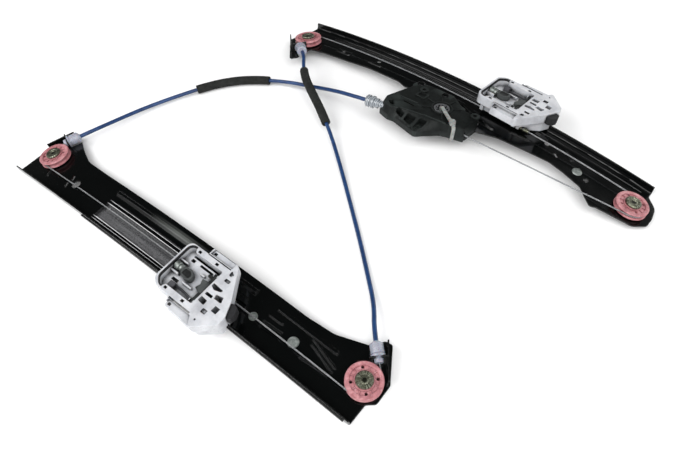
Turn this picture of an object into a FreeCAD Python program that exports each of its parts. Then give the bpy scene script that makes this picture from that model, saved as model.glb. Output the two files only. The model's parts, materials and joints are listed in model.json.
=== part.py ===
import FreeCAD, Part
import math
import os

# Cable window regulator for a car door: two arched steel rails, each with a pulley at either
# end and a moulded glass carrier, a cable drum in a housing on the drive rail, and two
# sheathed cables that cross between the rails. It lies on its rails' long edges.
# Millimetres. Each rail is drawn in its own frame: x runs along the arch from its crown,
# y points to the long guide edge, z stands off the sheet and is zero at the pulley tops.
# The frame's y is turned over for the slave rail, whose guide edge faces the other way.

V = FreeCAD.Vector

# Rails
rail_radius = 1860.0
pulley_spacing = 502.0
sheet = 1.5
deck_depth = 9.0
lip_rise = 8.8
bend_radius = 2.2
slave_lip = 40.2
drive_lip = 45.5
hem_height = 4.0
channel_depth = 2.4

# Pulleys and their riveted axles
pulley_diameter = 38.0
pulley_width = 8.0
pulley_bore = 9.2
hub_ring = 10.4
web_sink = 1.2
pulley_hole = 3.2
pulley_hole_circle = 26.0
axle_diameter = 9.0
axle_cap_diameter = 18.0
axle_cap = 2.4
axle_tail_diameter = 13.0
axle_tail = 1.8
running_gap = 0.3

# Cables
cable_diameter = 1.8
join_ahead = 20.0
groove_depth = 3.3
sheath_diameter = 5.0
sleeve_diameter = 12.0
sleeve_bore = 6.0

# Ferrules, which end the sheaths at the rails and at the housing
ferrule_diameter = 14.0
ferrule_body = 14.5
ferrule_flange = 15.6
ferrule_neck = 6.4
ferrule_nose = 9.0
ferrule_nose_length = 4.0
sheath_seat = 6.0
tab_width = 19.0
tab_top = 3.0
slave_left_heading = 292.0
slave_right_heading = 223.8
drive_left_heading = 326.8
slave_tab_gap = 1.5
drive_tab_gap = 2.5

# Drum and housing, placed from the drum's centre on the drive rail
drum_x = 4.5
drum_y = -25.0
drum_level = -9.5
drum_wind = 19.0
drum_flange = 1.6
drum_turns = 3
drum_width = 10.0
drum_hub = 20.0
drum_spline = 13.0
spline_teeth = 8
housing_top = -2.0
housing_step = -12.5
housing_foot = -20.0
drum_clearance = 0.6
housing_wall = 2.8
screw_bore = 5.5
screw_depth = 9.0
screw_boss = 11.0
boss_gap = 0.4
screw_circle = 42.0
screw_angles = (158.0, 20.0, 262.0)
rivet_shank = 5.0
rivet_places = ((-50.5, 25.5), (-13.0, 26.5))
nozzle_heading = 196.5
nozzle_seat = 66.3
nozzle_nose = 10.0
nozzle_body = 17.0
tie_width = 4.4
tie_thick = 1.2
tie_heading = -34.0
tie_gap = 0.3

# Tooling holes
plug_hole_small = 8.0
plug_hole_large = 10.5
tooling_hole = 6.0

# Holes that fasten the rails in the door
locating_hole = 11.0
slave_bolt_hole = 6.5
drive_bolt_hole = 6.5

# Glass carriers
carrier_top = 20.0
tray_floor = 8.0
floor_skin = 2.2
slide_gap = 0.5
slider_half = 42.0
slider_top = 4.6
nose_rise = 3.2
pocket_end = 8.0
seal_width = 1.4
seal_depth = 2.6
slave_carrier_x = 69.0
drive_carrier_x = 76.0
nipple_diameter = 5.0
nipple_length = 7.0
lever_shaft = 4.0
lever_level = 14.0
lever_x = 3.4
fit_gap = 0.08
screw_start = -40.6
screw_side = -14.3
screw_point = 1.5
screw_length = 12.4

# How the two rails lie beside each other
slave_roll = 2.63
drive_roll = -8.71
drive_yaw = -2.67
slave_level = -8.8
drive_level = -7.5
drive_offset_x = 109.8
drive_offset_y = 358.9
frame_x = 52.62
frame_y = 180.26

# Routes of the two sheaths between their ends, which are their ferrules' seats
sheath_lead = 22.0
up_route = [(-294.6, -88.0, 9.8), (-287.0, -46.0, 5.4), (-267.0, -1.3, 5.8), (-242.6, 43.0, 7.0),
            (-212.0, 77.0, 7.0), (-164.0, 103.5, 8.2), (-118.0, 112.2, 14.5), (-76.0, 111.6, 28.0)]
link_route = [(153.5, -107.0, 8.2), (127.0, -82.5, 3.6), (86.0, -46.0, 2.8), (37.0, -5.0, 3.0),
              (-5.0, 29.5, 5.5), (-42.0, 58.0, 10.0), (-76.0, 79.0, 19.0), (-104.0, 94.0, 25.0),
              (-126.0, 107.0, 28.0), (-148.0, 127.5, 28.3)]
up_sleeve_index = (4, 7)
link_sleeve_index = (7, 11)

# Sizes that follow from the ones above
deck = -deck_depth
underside = deck - sheet
half_span = pulley_spacing / 2
left = -half_span
right = half_span
groove_floor = pulley_diameter / 2 - groove_depth
slave_tab_distance = pulley_diameter / 2 + slave_tab_gap
drive_tab_distance = pulley_diameter / 2 + drive_tab_gap
cable_level = -pulley_width / 2
cable_radius = cable_diameter / 2
wind_radius = groove_floor + running_gap + cable_radius
rail_centre = V(0, 0, -rail_radius)
screw_level = tray_floor + floor_skin + 4.4


def flat(a, b):
    return V(a, b, 0)


def upright(a, b):
    return V(a, 0, b)


def across(a, b):
    return V(0, a, b)


def corner(before, point, after):
    """The start, middle and end of the arc that rounds one corner."""
    here = V(point[0], point[1], 0)
    back = (V(before[0], before[1], 0) - here).normalize()
    ahead = (V(after[0], after[1], 0) - here).normalize()
    radius = point[2] if len(point) > 2 else 0
    if radius == 0:
        return here, None, here
    half = back.getAngle(ahead) / 2
    reach = radius / math.tan(half)
    inward = (back + ahead).normalize()
    middle = here + inward * (radius / math.sin(half) - radius)
    return here + back * reach, middle, here + ahead * reach


def outline(points, to=flat):
    """A closed wire through points (a, b) or (a, b, corner radius)."""
    count = len(points)
    corners = [corner(points[i - 1], points[i], points[(i + 1) % count]) for i in range(count)]
    edges = []
    for i in range(count):
        start, middle, end = corners[i]
        if middle is not None:
            arc = Part.Arc(to(start.x, start.y), to(middle.x, middle.y), to(end.x, end.y))
            edges.append(arc.toShape())
        following = corners[(i + 1) % count][0]
        if end.distanceToPoint(following) > 0.001:
            edges.append(Part.makeLine(to(end.x, end.y), to(following.x, following.y)))
    return Part.Wire(edges)


def prism(points, low, high):
    face = Part.Face(outline(points))
    face.translate(V(0, 0, low))
    return face.extrude(V(0, 0, high - low))


def turned(points):
    """A solid of revolution about z through points (radius, height)."""
    return Part.Face(outline(points, upright)).revolve(V(), V(0, 0, 1), 360)


def disc(diameter, low, high, x=0.0, y=0.0):
    return Part.makeCylinder(diameter / 2, high - low, V(x, y, low))


def block(x_from, x_to, y_from, y_to, low, high, radius=0.0):
    points = [(x_from, y_from), (x_to, y_from), (x_to, y_to), (x_from, y_to)]
    if radius:
        points = [(x, y, radius) for x, y in points]
    return prism(points, low, high)


def along(shape, x):
    """The shape carried round the arch from the crown to x."""
    moved = shape.copy()
    moved.rotate(rail_centre, V(0, 1, 0), math.degrees(x / rail_radius))
    return moved


def placed(shape, x, y, turn=0.0, z=0.0):
    moved = shape.copy()
    moved.rotate(V(), V(0, 0, 1), turn)
    moved.translate(V(0, y, z))
    return along(moved, x)


def band(points, x_from, x_to):
    """A section of points (y, z) swept along the arch."""
    face = Part.Face(outline(points, across))
    swept = face.revolve(rail_centre, V(0, 1, 0), math.degrees((x_to - x_from) / rail_radius))
    return along(swept, x_from)


def rectangle(length, width, radius, z):
    a = length / 2
    b = width / 2
    wire = outline([(-a, -b, radius), (a, -b, radius), (a, b, radius), (-a, b, radius)])
    wire.translate(V(0, 0, z))
    return wire


def pad(length, width, radius, low, high, draft):
    """A tapered rounded block whose far face, at high, is smaller all round by the draft."""
    base = rectangle(length, width, radius, low)
    far = rectangle(length - 2 * draft, width - 2 * draft, max(radius - draft, 0.3), high)
    return Part.makeLoft([base, far], True, True)


def pressing(x, y, length, width, turn, rise, radius=None):
    """The metal added and the hollow left where the sheet is pressed up, or down if negative."""
    radius = width / 2 - 0.01 if radius is None else radius
    draft = min(abs(rise) * 0.7, width / 4)
    wall = sheet * 0.75
    inner_radius = max(radius - wall, 0.3)
    near, far = (deck, underside) if rise > 0 else (underside, deck)
    overlap = -0.2 if rise > 0 else 0.2
    added = pad(length, width, radius, near + overlap, near + rise, draft)
    hollow = pad(length - 2 * wall, width - 2 * wall, inner_radius, far + overlap, far + rise,
                 min(draft, width / 2 - wall - 0.4))
    return placed(added, x, y, turn), placed(hollow, x, y, turn)


def press_all(sheet_metal, pressings):
    pairs = [pressing(*p) for p in pressings]
    solid = sheet_metal.fuse([p[0] for p in pairs])
    return solid.cut([p[1] for p in pairs])


def blank(lip, points, x_from, x_to, back):
    """A rail's sheet with its upturned guide lip, trimmed to its outline in plan."""
    section = [(back, underside), (lip, underside, bend_radius + sheet),
               (lip, deck + lip_rise), (lip - sheet, deck + lip_rise),
               (lip - sheet, deck, bend_radius), (back, deck)]
    strip = band(section, x_from, x_to)
    return strip.common(prism(points, -80, 40))


def hem(lip, x_from, x_to):
    """The edge of the lip folded back on its outside."""
    low = underside + 0.6
    return band([(lip - 0.2, low), (lip + sheet - 0.2, low + 0.8, 0.5),
                 (lip + sheet - 0.2, low + hem_height, 0.5), (lip - 0.2, low + hem_height)],
                x_from, x_to)


def channel(y_from, y_to, depth, x_from, x_to):
    """A long pressed channel: its added floor and its hollow."""
    slope = depth * 0.6
    wall = sheet * 0.7
    added = band([(y_from, underside + 0.2), (y_to, underside + 0.2),
                  (y_to - slope, underside - depth), (y_from + slope, underside - depth)],
                 x_from, x_to)
    hollow = band([(y_from + wall, deck + 0.2), (y_to - wall, deck + 0.2),
                   (y_to - wall - slope, deck - depth), (y_from + wall + slope, deck - depth)],
                  x_from + wall, x_to - wall)
    return added, hollow


def crown_rib(y_from, y_to, rise, x_from, x_to):
    """A long rounded rib pressed up out of the sheet."""
    slope = rise * 1.1
    wall = sheet * 0.7
    added = band([(y_from, deck - 0.2), (y_to, deck - 0.2), (y_to - slope, deck + rise, rise / 2),
                  (y_from + slope, deck + rise, rise / 2)], x_from, x_to)
    hollow = band([(y_from + wall, underside - 0.2), (y_to - wall, underside - 0.2),
                   (y_to - wall - slope, underside + rise, rise / 3),
                   (y_from + wall + slope, underside + rise, rise / 3)],
                  x_from + wall, x_to - wall)
    return added, hollow


def wall_between(x1, y1, x2, y2, low, high):
    """An upright wall of sheet along a line in plan."""
    run = V(x2 - x1, y2 - y1, 0)
    side = V(-run.y, run.x, 0).normalize() * (sheet / 2)
    corners = [V(x1, y1, 0) + side, V(x2, y2, 0) + side, V(x2, y2, 0) - side, V(x1, y1, 0) - side]
    return prism([(p.x, p.y) for p in corners], low, high)


def heading_vector(heading):
    return V(math.cos(math.radians(heading)), math.sin(math.radians(heading)), 0)


def leave_point(heading, end):
    """Where a cable with this heading leaves the pulley; end is -1 at the left, 1 at the right."""
    way = heading_vector(heading)
    return V(-end * way.y, end * way.x, 0) * wind_radius


def on_cable(shape, heading, end, distance):
    """A shape drawn along x from the origin, set on a cable's line past the pulley."""
    moved = shape.copy()
    moved.rotate(V(), V(0, 0, 1), heading)
    start = leave_point(heading, end) + heading_vector(heading) * distance
    moved.translate(start + V(0, 0, cable_level))
    return along(moved, end * half_span)


def ferrule_tab():
    """The upright tab, notched from the top, that a ferrule's neck drops into."""
    half = sheet / 2
    tab = prism([(-half, -tab_width / 2), (half, -tab_width / 2), (half, tab_width / 2),
                 (-half, tab_width / 2)], underside - cable_level, tab_top - cable_level)
    notch = ferrule_neck + 0.2
    slot = block(-2, 2, -notch / 2, notch / 2, 0, 20)
    eye = Part.makeCylinder(notch / 2, 4, V(-2, 0, 0), V(1, 0, 0))
    return tab.cut([slot, eye])


def ferrule_room():
    """The space in the sheet round a ferrule's body and nose."""
    start = sheet / 2 + 0.05
    room = Part.makeCylinder(ferrule_flange / 2 + 0.4, 40, V(start, 0, 0), V(1, 0, 0))
    return room


def ferrule():
    """A sprung sheath end, its neck at the tab, its body running along x."""
    half = sheet / 2 + 0.1
    flange = half + 2.0
    end = half + ferrule_body
    r = ferrule_diameter / 2
    hole = cable_radius + 0.3
    seat = sheath_diameter / 2 + 0.15
    points = [(hole, -half - ferrule_nose_length), (ferrule_nose / 2 - 0.8, -half - ferrule_nose_length),
              (ferrule_nose / 2, -half - ferrule_nose_length + 0.8), (ferrule_nose / 2, -half),
              (ferrule_neck / 2, -half), (ferrule_neck / 2, half), (ferrule_flange / 2, half),
              (ferrule_flange / 2, flange), (r - 0.9, flange), (r - 0.9, flange + 1.2),
              (r, flange + 1.6), (r, end - 1.2), (r - 1.2, end), (seat + 0.9, end),
              (seat + 0.9, end + 1.6), (seat, end + 1.6), (seat, sheath_seat), (hole, sheath_seat)]
    solid = turned(points)
    solid.rotate(V(), V(0, 1, 0), 90)
    return solid


# Slave rail, whose features keep their distance from the pulley at their end
trim = 60
slave_points = [(left - 28, trim), (left - 28, -7, 3), (left - 16, -41.5, 3), (left + 4, -38, 4),
                (left + 22, -29, 14), (left + 48, -19, 30), (left + 91, -18, 60), (right - 86, -17.8, 60),
                (right - 54, -20.5, 30), (right - 31, -29, 8), (right - 19, -33.5, 3), (right - 11, -46, 3),
                (right - 3, -47.5, 3), (right + 19, -13.5, 5), (right + 19.5, 9, 5), (right + 11.5, 16, 4),
                (right + 11.5, trim)]
slave_holes = ((left + 65, 14, locating_hole), (left + 133, 15.6, slave_bolt_hole))
slave_plug_places = ((right - 130, 15.4, plug_hole_small), (right - 79.5, 11.4, plug_hole_large))


def drilled(places):
    """Round holes through the sheet; each place is x, y and the hole's diameter."""
    return [placed(disc(diameter, -20, 0), x, y) for x, y, diameter in places]


def slave_sheet():
    metal = blank(slave_lip, slave_points, left - trim / 2, right + trim / 2, -trim)
    pieces = [channel(9.2, slave_lip - 8.4, channel_depth, left + 126.5, right - 143),
              crown_rib(-11.2, -2.6, 2.4, left + 127, right - 145),
              crown_rib(3.2, 5.2, 0.7, left + 139, right - 147)]
    metal = metal.fuse([p[0] for p in pieces] + [hem(slave_lip, left + 117, right + 7)])
    metal = metal.cut([p[1] for p in pieces])
    embossed = [(left + 14, 21, 10, 3.2, 68, 1.2), (left + 53, 10, 9, 3, 62, 1.2),
                (left + 54, 21, 8, 3, 62, 1.2), (right - 106, 15.6, 27, 11.5, -3, -2.0, 2.6),
                (right - 48, 16, 36, 5.4, -5, 1.6), (right - 48, 1.2, 38, 3.4, 16, 1.2),
                (right - 47, 6.2, 36, 3.0, 16, 1.2), (right - 76, -7, 78, 5, 0, 1.0),
                (right - 109, 3.6, 19, 3.2, 0, 1.1), (right - 99, 28.6, 21, 3.6, 3, 1.1)]
    metal = press_all(metal, embossed)
    return metal.cut(drilled(slave_holes + slave_plug_places))


def finish_rail(metal, ears, tabs):
    """Adds the folded end walls and the ferrule tabs, and cuts the axle and ferrule openings."""
    walls = []
    for end, x1, y1, x2, y2, top in ears:
        walls.append(along(wall_between(x1, y1, x2, y2, underside, top), end * half_span))
    rooms = []
    for heading, end, distance in tabs:
        walls.append(on_cable(ferrule_tab(), heading, end, distance))
        rooms.append(on_cable(ferrule_room(), heading, end, distance))
    axles = [along(disc(axle_diameter, -30, 10), end * half_span) for end in (-1, 1)]
    solid = metal.fuse(walls)
    return solid.cut(rooms + axles)


# Drive rail, which also reaches out under the drum housing
drive_points = [(left - 21.5, trim), (left - 21.5, 30, 4), (left - 27.5, 4, 6), (left - 28.5, -8, 3),
                (left + 15, -52, 3), (left + 22, -44, 3), (left + 19, -14, 3), (left + 45, -10, 10),
                (left + 86, -8, 20), (left + 117, -4, 30), (drum_x - 84.5, -4, 10), (drum_x - 70.5, -9, 4),
                (drum_x - 58.5, -5, 3), (drum_x - 34.5, -3), (drum_x + 35.5, -5), (drum_x + 45.5, -8, 3),
                (drum_x + 49.5, -26, 3), (drum_x + 77.5, -14.5, 20), (right - 104, -5, 30),
                (right - 83, -8, 20), (right - 58, -14, 6), (right - 47, -24, 3), (right - 36, -33, 4),
                (right - 29, -29, 3), (right + 12, -22, 9), (right + 24, -8, 6), (right + 24, 6, 14),
                (right + 20, 24, 14), (right + 6.5, 36, 5), (right + 6.5, trim)]
drive_holes = ((left + 119.3, 18.6, drive_bolt_hole), (right - 120.5, 22, drive_bolt_hole))
drive_tooling_places = ((right - 56, 1.0, tooling_hole), (left + 63, 8, tooling_hole))
drive_plug_places = ((right - 70.5, 5.2, plug_hole_large),)


def drive_sheet():
    metal = blank(drive_lip, drive_points, left - trim / 2, right + trim / 2, -trim)
    pieces = [channel(22.8, drive_lip - 12, channel_depth, left + 23, right - 133),
              crown_rib(35.0, 37.4, 0.8, left - 11, right - 1)]
    metal = metal.fuse([p[0] for p in pieces])
    metal = metal.cut([p[1] for p in pieces])
    embossed = [(left + 64, 8, 25, 10, 0, 1.4, 3.0), (left + 119.5, 8.6, 24, 5.2, 0, 1.3),
                (drum_x + 31.5, 3.5, 72, 7.5, -15, 1.8), (right - 91, 22.5, 20, 4, -36, 1.2),
                (right - 151, 8, 26, 4, 8, 1.1)]
    metal = press_all(metal, embossed)
    notch = placed(disc(2 * (barrel_radius + 0.5), -30, 0), drum_x, drum_y)
    boss_x, boss_y = screw_places()[1]
    notches = [notch, at_drum(disc(screw_boss + 2 * boss_gap, -20, 0, boss_x, boss_y))]
    slot = placed(block(-4, 4, -1.6, 1.6, -20, 0, 1.5), right - 102.5, 11.5, -40)
    rivets = [at_drum(placed_flat(disc(rivet_shank + 0.2, -20, 0), x, y)) for x, y in rivet_places]
    holes = drilled(drive_holes + drive_tooling_places + drive_plug_places)
    return metal.cut(notches + [slot] + holes + rivets)


# Pulleys, axles and washers
def pulley():
    outer = pulley_diameter / 2
    floor = groove_floor
    half_gap = cable_radius + 0.35
    middle = cable_level
    bore = pulley_bore / 2
    inner_rim = groove_floor - 0.9
    points = [(bore, -pulley_width), (outer - 0.8, -pulley_width), (outer, -pulley_width + 0.8),
              (outer, middle - half_gap - 1.4), (floor, middle - half_gap),
              (floor, middle + half_gap), (outer, middle + half_gap + 1.4), (outer, -0.8),
              (outer - 0.8, 0), (inner_rim, 0), (inner_rim - 0.4, -web_sink), (hub_ring, -web_sink),
              (hub_ring, 0), (bore, 0)]
    wheel = turned(points)
    holes = []
    spokes = []
    for i in range(4):
        spot = disc(pulley_hole, -pulley_width - 1, 1, pulley_hole_circle / 2, 0)
        spot.rotate(V(), V(0, 0, 1), 45 + 90 * i)
        holes.append(spot)
    for i in range(12):
        spoke = block(hub_ring - 0.2, inner_rim + 0.1, -0.45, 0.45, -web_sink - 0.2, -0.4)
        spoke.rotate(V(), V(0, 0, 1), 15 + 30 * i)
        spokes.append(spoke)
    return wheel.fuse(spokes).cut(holes)


def axle():
    """A riveted pin: a dished cap over the pulley, a shoulder on the sheet and an upset tail."""
    cap = axle_cap_diameter / 2
    r = axle_diameter / 2
    seat = running_gap
    tail = axle_tail_diameter / 2
    points = [(0, underside - axle_tail), (tail - 1.2, underside - axle_tail), (tail, underside - 0.7),
              (tail, underside), (r, underside), (r, seat), (cap, seat), (cap, seat + axle_cap - 1.0),
              (cap - 1.0, seat + axle_cap), (r + 1.2, seat + axle_cap), (r + 0.4, seat + axle_cap - 0.7),
              (r - 1.4, seat + axle_cap - 0.5), (r - 1.9, seat + axle_cap - 1.1), (0, seat + axle_cap - 1.1)]
    pin = turned(points)
    notches = []
    for i in range(4):
        notch = block(r + 1.6, cap - 1.6, -0.7, 0.7, seat + axle_cap - 0.5, seat + axle_cap + 1)
        notch.rotate(V(), V(0, 0, 1), 45 + 90 * i)
        notches.append(notch)
    return pin.cut(notches)


def washer():
    low = deck
    high = -pulley_width - running_gap
    ring = disc(axle_cap_diameter - 1, low, high)
    return ring.cut(disc(axle_diameter, low - 1, high + 1))


def at_ends(shape):
    return [along(shape, end * half_span) for end in (-1, 1)]


# Inner cables
def rod(start, end, radius=cable_radius):
    run = end - start
    return Part.makeCylinder(radius, run.Length, start, run)


def wrap(radius, from_angle, to_angle, level):
    """Part of a turn of cable about z; angles in degrees, counted towards the larger."""
    section = Part.Face(Part.Wire(Part.makeCircle(cable_radius, V(radius, 0, level), V(0, 1, 0))))
    section.rotate(V(), V(0, 0, 1), from_angle)
    return section.revolve(V(), V(0, 0, 1), to_angle - from_angle)


def rail_run(x_from, x_to):
    face = Part.Face(Part.Wire(Part.makeCircle(cable_radius, V(0, wind_radius, cable_level), V(1, 0, 0))))
    swept = face.revolve(rail_centre, V(0, 1, 0), math.degrees((x_to - x_from) / rail_radius))
    return along(swept, x_from)


def end_run(heading, end, reach):
    """The cable from the rail run round an end pulley and straight on by the reach."""
    leave = leave_point(heading, end)
    angle = math.degrees(math.atan2(leave.y, leave.x)) % 360
    if end < 0:
        bend = wrap(wind_radius, 90, angle, cable_level)
    else:
        bend = wrap(wind_radius, angle - 360, 90, cable_level)
    start = leave + V(0, 0, cable_level)
    straight = rod(start, start + heading_vector(heading) * reach)
    return [along(bend, end * half_span), along(straight, end * half_span)]


def fused(shapes):
    solid = shapes[0].fuse(shapes[1:])
    return solid.removeSplitter()


def seat_reach(distance):
    return distance + sheath_seat - 0.4


# Drum, housing and what they hold, drawn about the drum's centre
drum_low = drum_level - drum_width / 2
drum_high = drum_level + drum_width / 2
drum_pitch = (drum_width - 2.4) / drum_turns
cavity_radius = drum_wind + drum_flange + drum_clearance
barrel_radius = cavity_radius + housing_wall
drum_clear = 12.5
end_reach = rail_radius * math.sin(half_span / rail_radius) - drum_x
exit_heading = (math.degrees(math.atan2(-drum_y, end_reach))
                + math.degrees(math.asin((drum_wind - wind_radius) / math.hypot(end_reach, drum_y))))


def at_drum(shape):
    return placed(shape, drum_x, drum_y)


def drum_leave(heading, side):
    way = heading_vector(heading)
    return V(-side * way.y, side * way.x, 0) * drum_wind


def drum():
    outer = drum_wind + drum_flange
    floor = drum_wind - cable_radius - running_gap
    low = drum_low
    high = drum_high
    hub = drum_hub / 2
    half = drum_spline / 2
    web = drum_level
    points = [(half + 1.5, low), (outer, low), (outer, low + 1.2)]
    for i in range(drum_turns):
        base = low + 1.2 + drum_pitch * i
        points += [(floor, base + 0.2), (floor, base + drum_pitch - 0.2), (outer - 0.6, base + drum_pitch)]
    points += [(outer, high), (floor - 2.2, high), (floor - 3, web + 1.4), (hub + 1, web + 1.4),
               (hub, housing_top + 0.4), (half + 1.5, housing_top + 0.4)]
    wheel = turned(points)
    teeth = []
    for i in range(spline_teeth):
        tooth = block(half - 0.8, half + 2.5, -1.2, 1.2, low, housing_top + 0.4)
        tooth.rotate(V(), V(0, 0, 1), 360 / spline_teeth * i)
        teeth.append(tooth)
    lower = disc(drum_hub + 4, low - 4.5, low).cut(disc(drum_spline + 3, low - 6, low + 1))
    return wheel.fuse(teeth + [lower])


def drum_cable():
    """Three turns of cable in the drum's grooves."""
    rings = [Part.makeTorus(drum_wind, cable_radius, V(0, 0, drum_low + 1.2 + drum_pitch * (i + 0.5)))
             for i in range(drum_turns)]
    return Part.makeCompound(rings)


housing_rim = [(-66, -8, 3), (-68.5, -28, 5), (-64.5, -42.5, 5), (-48, -46.5, 4), (-39, -44.5, 3),
               (-21, -48, 6), (-2.8, -51.3, 6), (4, -43, 5), (18.5, -26.5, 5), (27.5, -22.5, 2),
               (46, -17.5, 2), (46, 16.4, 3), (-57, 16.4, 4)]
housing_crown = [(-61, -8, 3), (-65.5, -27, 5), (-61.5, -39, 5), (-48, -42, 4), (-37, -36, 3),
                 (-20, -33.5, 6), (-5, -29.5, 6), (5, -28.5, 5), (17, -25.5, 5), (26, -21.5, 2),
                 (44, -16.5, 2), (43.5, 16.4, 3), (-55, 16.4, 4)]
housing_ledge = [(-58, 14.5, 4), (-58, 26, 6), (-30, 31.5, 8), (-4, 33, 6), (14, 22, 8), (45, 14.5, 3)]


def raised(points, z):
    wire = outline(points)
    wire.translate(V(0, 0, z))
    return wire


def screw_places():
    return [(screw_circle * math.cos(math.radians(a)), screw_circle * math.sin(math.radians(a)))
            for a in screw_angles]


def housing():
    """The moulded drum housing: a ribbed crown that falls away to a deep skirt, open below."""
    skirt = prism(housing_rim, housing_foot, housing_step)
    crown = Part.makeLoft([raised(housing_rim, housing_step), raised(housing_crown, housing_top)],
                          True, True)
    barrel = disc(2 * barrel_radius, housing_foot, housing_top)
    ledge = prism(housing_ledge, deck, housing_top)
    body = skirt.fuse([crown, barrel, ledge])
    cavity = disc(2 * cavity_radius, housing_foot - 1, drum_high + 0.5)
    mouth = disc(2 * cavity_radius + 4, housing_foot - 1, housing_foot + 3)
    hub_hole = disc(drum_hub + 1.2, drum_high, 5)
    hub_well = disc(drum_hub + 17, drum_high, drum_high + 0.51)
    cuts = [cavity, mouth, hub_hole, hub_well]
    cuts += front_pockets() + cable_ways() + [crown_groove()]
    body = body.fuse([disc(screw_boss, housing_foot, top, x, y)
                      for (x, y), top in zip(screw_places(), (housing_top, housing_top, housing_step))])
    body = body.cut(cuts)
    body = body.fuse(crown_ribs())
    bores = [disc(screw_bore, housing_foot - 1, housing_foot + screw_depth, x, y)
             for x, y in screw_places()]
    bores += [disc(rivet_shank + 0.2, deck - 5, 5, x, y) for x, y in rivet_places]
    return body.cut(bores)


def front_pockets():
    """The deep pockets between the ribs of the sloping front."""
    low = housing_foot + 9
    return [prism([(-59, -34, 2), (-50, -38.5, 2), (-46, -35, 2), (-54, -29, 2)], low, 0),
            prism([(-41, -40.5, 1.5), (-29, -43, 1.5), (-29, -37.5, 1.5), (-39, -36, 1.5)], low, 0),
            prism([(-26, -43.5, 1.5), (-14, -46, 1.5), (-12, -35.5, 1.5), (-25, -36, 1.5)], low, 0),
            prism([(-9, -47, 1.5), (-3.6, -47.6, 1.5), (0.5, -41, 1.5), (2, -32, 1.5), (-8, -33.5, 1.5)],
                  low, 0)]


def crown_groove():
    return prism([(-44, -22, 1.2), (-27, -22, 1.2), (-27, -19.6, 1.2), (-44, -19.6, 1.2)],
                 housing_top - 1.6, 5)


def crown_ribs():
    """Low ribs, a ring and the lands on the crown."""
    top = housing_top + 1.1
    base = housing_top - 0.5
    ring = disc(drum_hub + 7, base, top).cut(disc(drum_hub + 3.6, base - 1, top + 1))
    ribs = [ring]
    for a in (35, 80, 125, 170, 215, 305):
        rib = block(drum_hub / 2 + 3, 24.5, -0.7, 0.7, base, top)
        rib.rotate(V(), V(0, 0, 1), a)
        ribs.append(rib)
    land = block(-41, -27, -1, 11, base, top, 1.2)
    ribs.append(land.cut(block(-38.6, -29.4, 1.4, 8.6, base - 1, top + 1, 0.8)))
    ribs.append(wall_between(-52, -16, -27, -13.5, base, top))
    ribs.append(wall_between(-37, -36, -8, -29, base, top))
    ribs.append(wall_between(-8, -28, 22, -23, base, top))
    for x, y in screw_places()[:2]:
        ribs.append(disc(screw_boss, base, top + 0.6, x, y).cut(disc(5, base - 1, top + 1, x, y)))
    return ribs


def cable_ways():
    """The two slots, open below, that the cables leave the drum by."""
    ways = []
    for heading, side, reach in ((nozzle_heading, 1, nozzle_seat + 1), (exit_heading, -1, 70)):
        start = drum_leave(heading, side)
        way = block(0, reach, -1.5, 1.5, housing_foot - 1, drum_level + 2.4)
        way.rotate(V(), V(0, 0, 1), heading)
        way.translate(start)
        ways.append(way)
    start = drum_leave(nozzle_heading, 1) + heading_vector(nozzle_heading) * nozzle_seat
    socket = Part.makeCylinder(ferrule_nose / 2 + 0.1, 30, start + V(0, 0, drum_level),
                               heading_vector(nozzle_heading))
    return ways + [socket]


def nozzle():
    """The sheath's adjuster at the housing: a stepped clear sleeve pushed into its socket."""
    r = ferrule_diameter / 2 + 0.8
    nose = ferrule_nose / 2
    step = nozzle_nose
    hole = cable_radius + 0.3
    seat = sheath_diameter / 2 + 0.15
    end = step + nozzle_body
    points = [(hole, 0), (nose, 0), (nose, step), (r - 1.6, step), (r - 1.6, step + 5), (r, step + 5.6),
              (r, step + 9), (r - 1.2, step + 9.6), (r - 1.2, step + 11), (r, step + 11.6), (r, end - 1.5),
              (r - 1.5, end), (seat, end), (seat, step + sheath_seat), (hole, step + sheath_seat)]
    solid = turned(points)
    solid.rotate(V(), V(0, 1, 0), 90)
    solid.rotate(V(), V(0, 0, 1), nozzle_heading)
    start = drum_leave(nozzle_heading, 1) + heading_vector(nozzle_heading) * nozzle_seat
    solid.translate(start + V(0, 0, drum_level))
    return solid


def drum_feed():
    """The cable from the drum out through the adjuster to the end of its sheath."""
    start = drum_leave(nozzle_heading, 1) + V(0, 0, drum_level)
    way = heading_vector(nozzle_heading)
    return rod(start + way * drum_clear, start + way * (nozzle_seat + nozzle_nose + sheath_seat - 0.4))


def return_run():
    """The bare cable from the drive rail's right pulley back to the drum."""
    leave = V(math.cos(math.radians(exit_heading - 90)), math.sin(math.radians(exit_heading - 90)), 0)
    bend = wrap(wind_radius, exit_heading - 90, 90, cable_level)
    bend = along(bend, half_span)
    start = along(Part.Vertex(leave * wind_radius + V(0, 0, cable_level)), half_span).Point
    end = at_drum(Part.Vertex(leave * drum_wind + V(0, 0, drum_level))).Point
    return [bend, rod(start, end + (start - end).normalize() * drum_clear)]


def rim_reach(heading, width):
    """How far the housing's rim reaches from the drum's centre, on a strip with this heading."""
    strip = block(0, 200, -width / 2, width / 2, -1, 1)
    strip.rotate(V(), V(0, 0, 1), heading)
    covered = strip.common(prism(housing_rim, -1, 1))
    covered.rotate(V(), V(0, 0, 1), -heading)
    return covered.BoundBox.XMax


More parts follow.
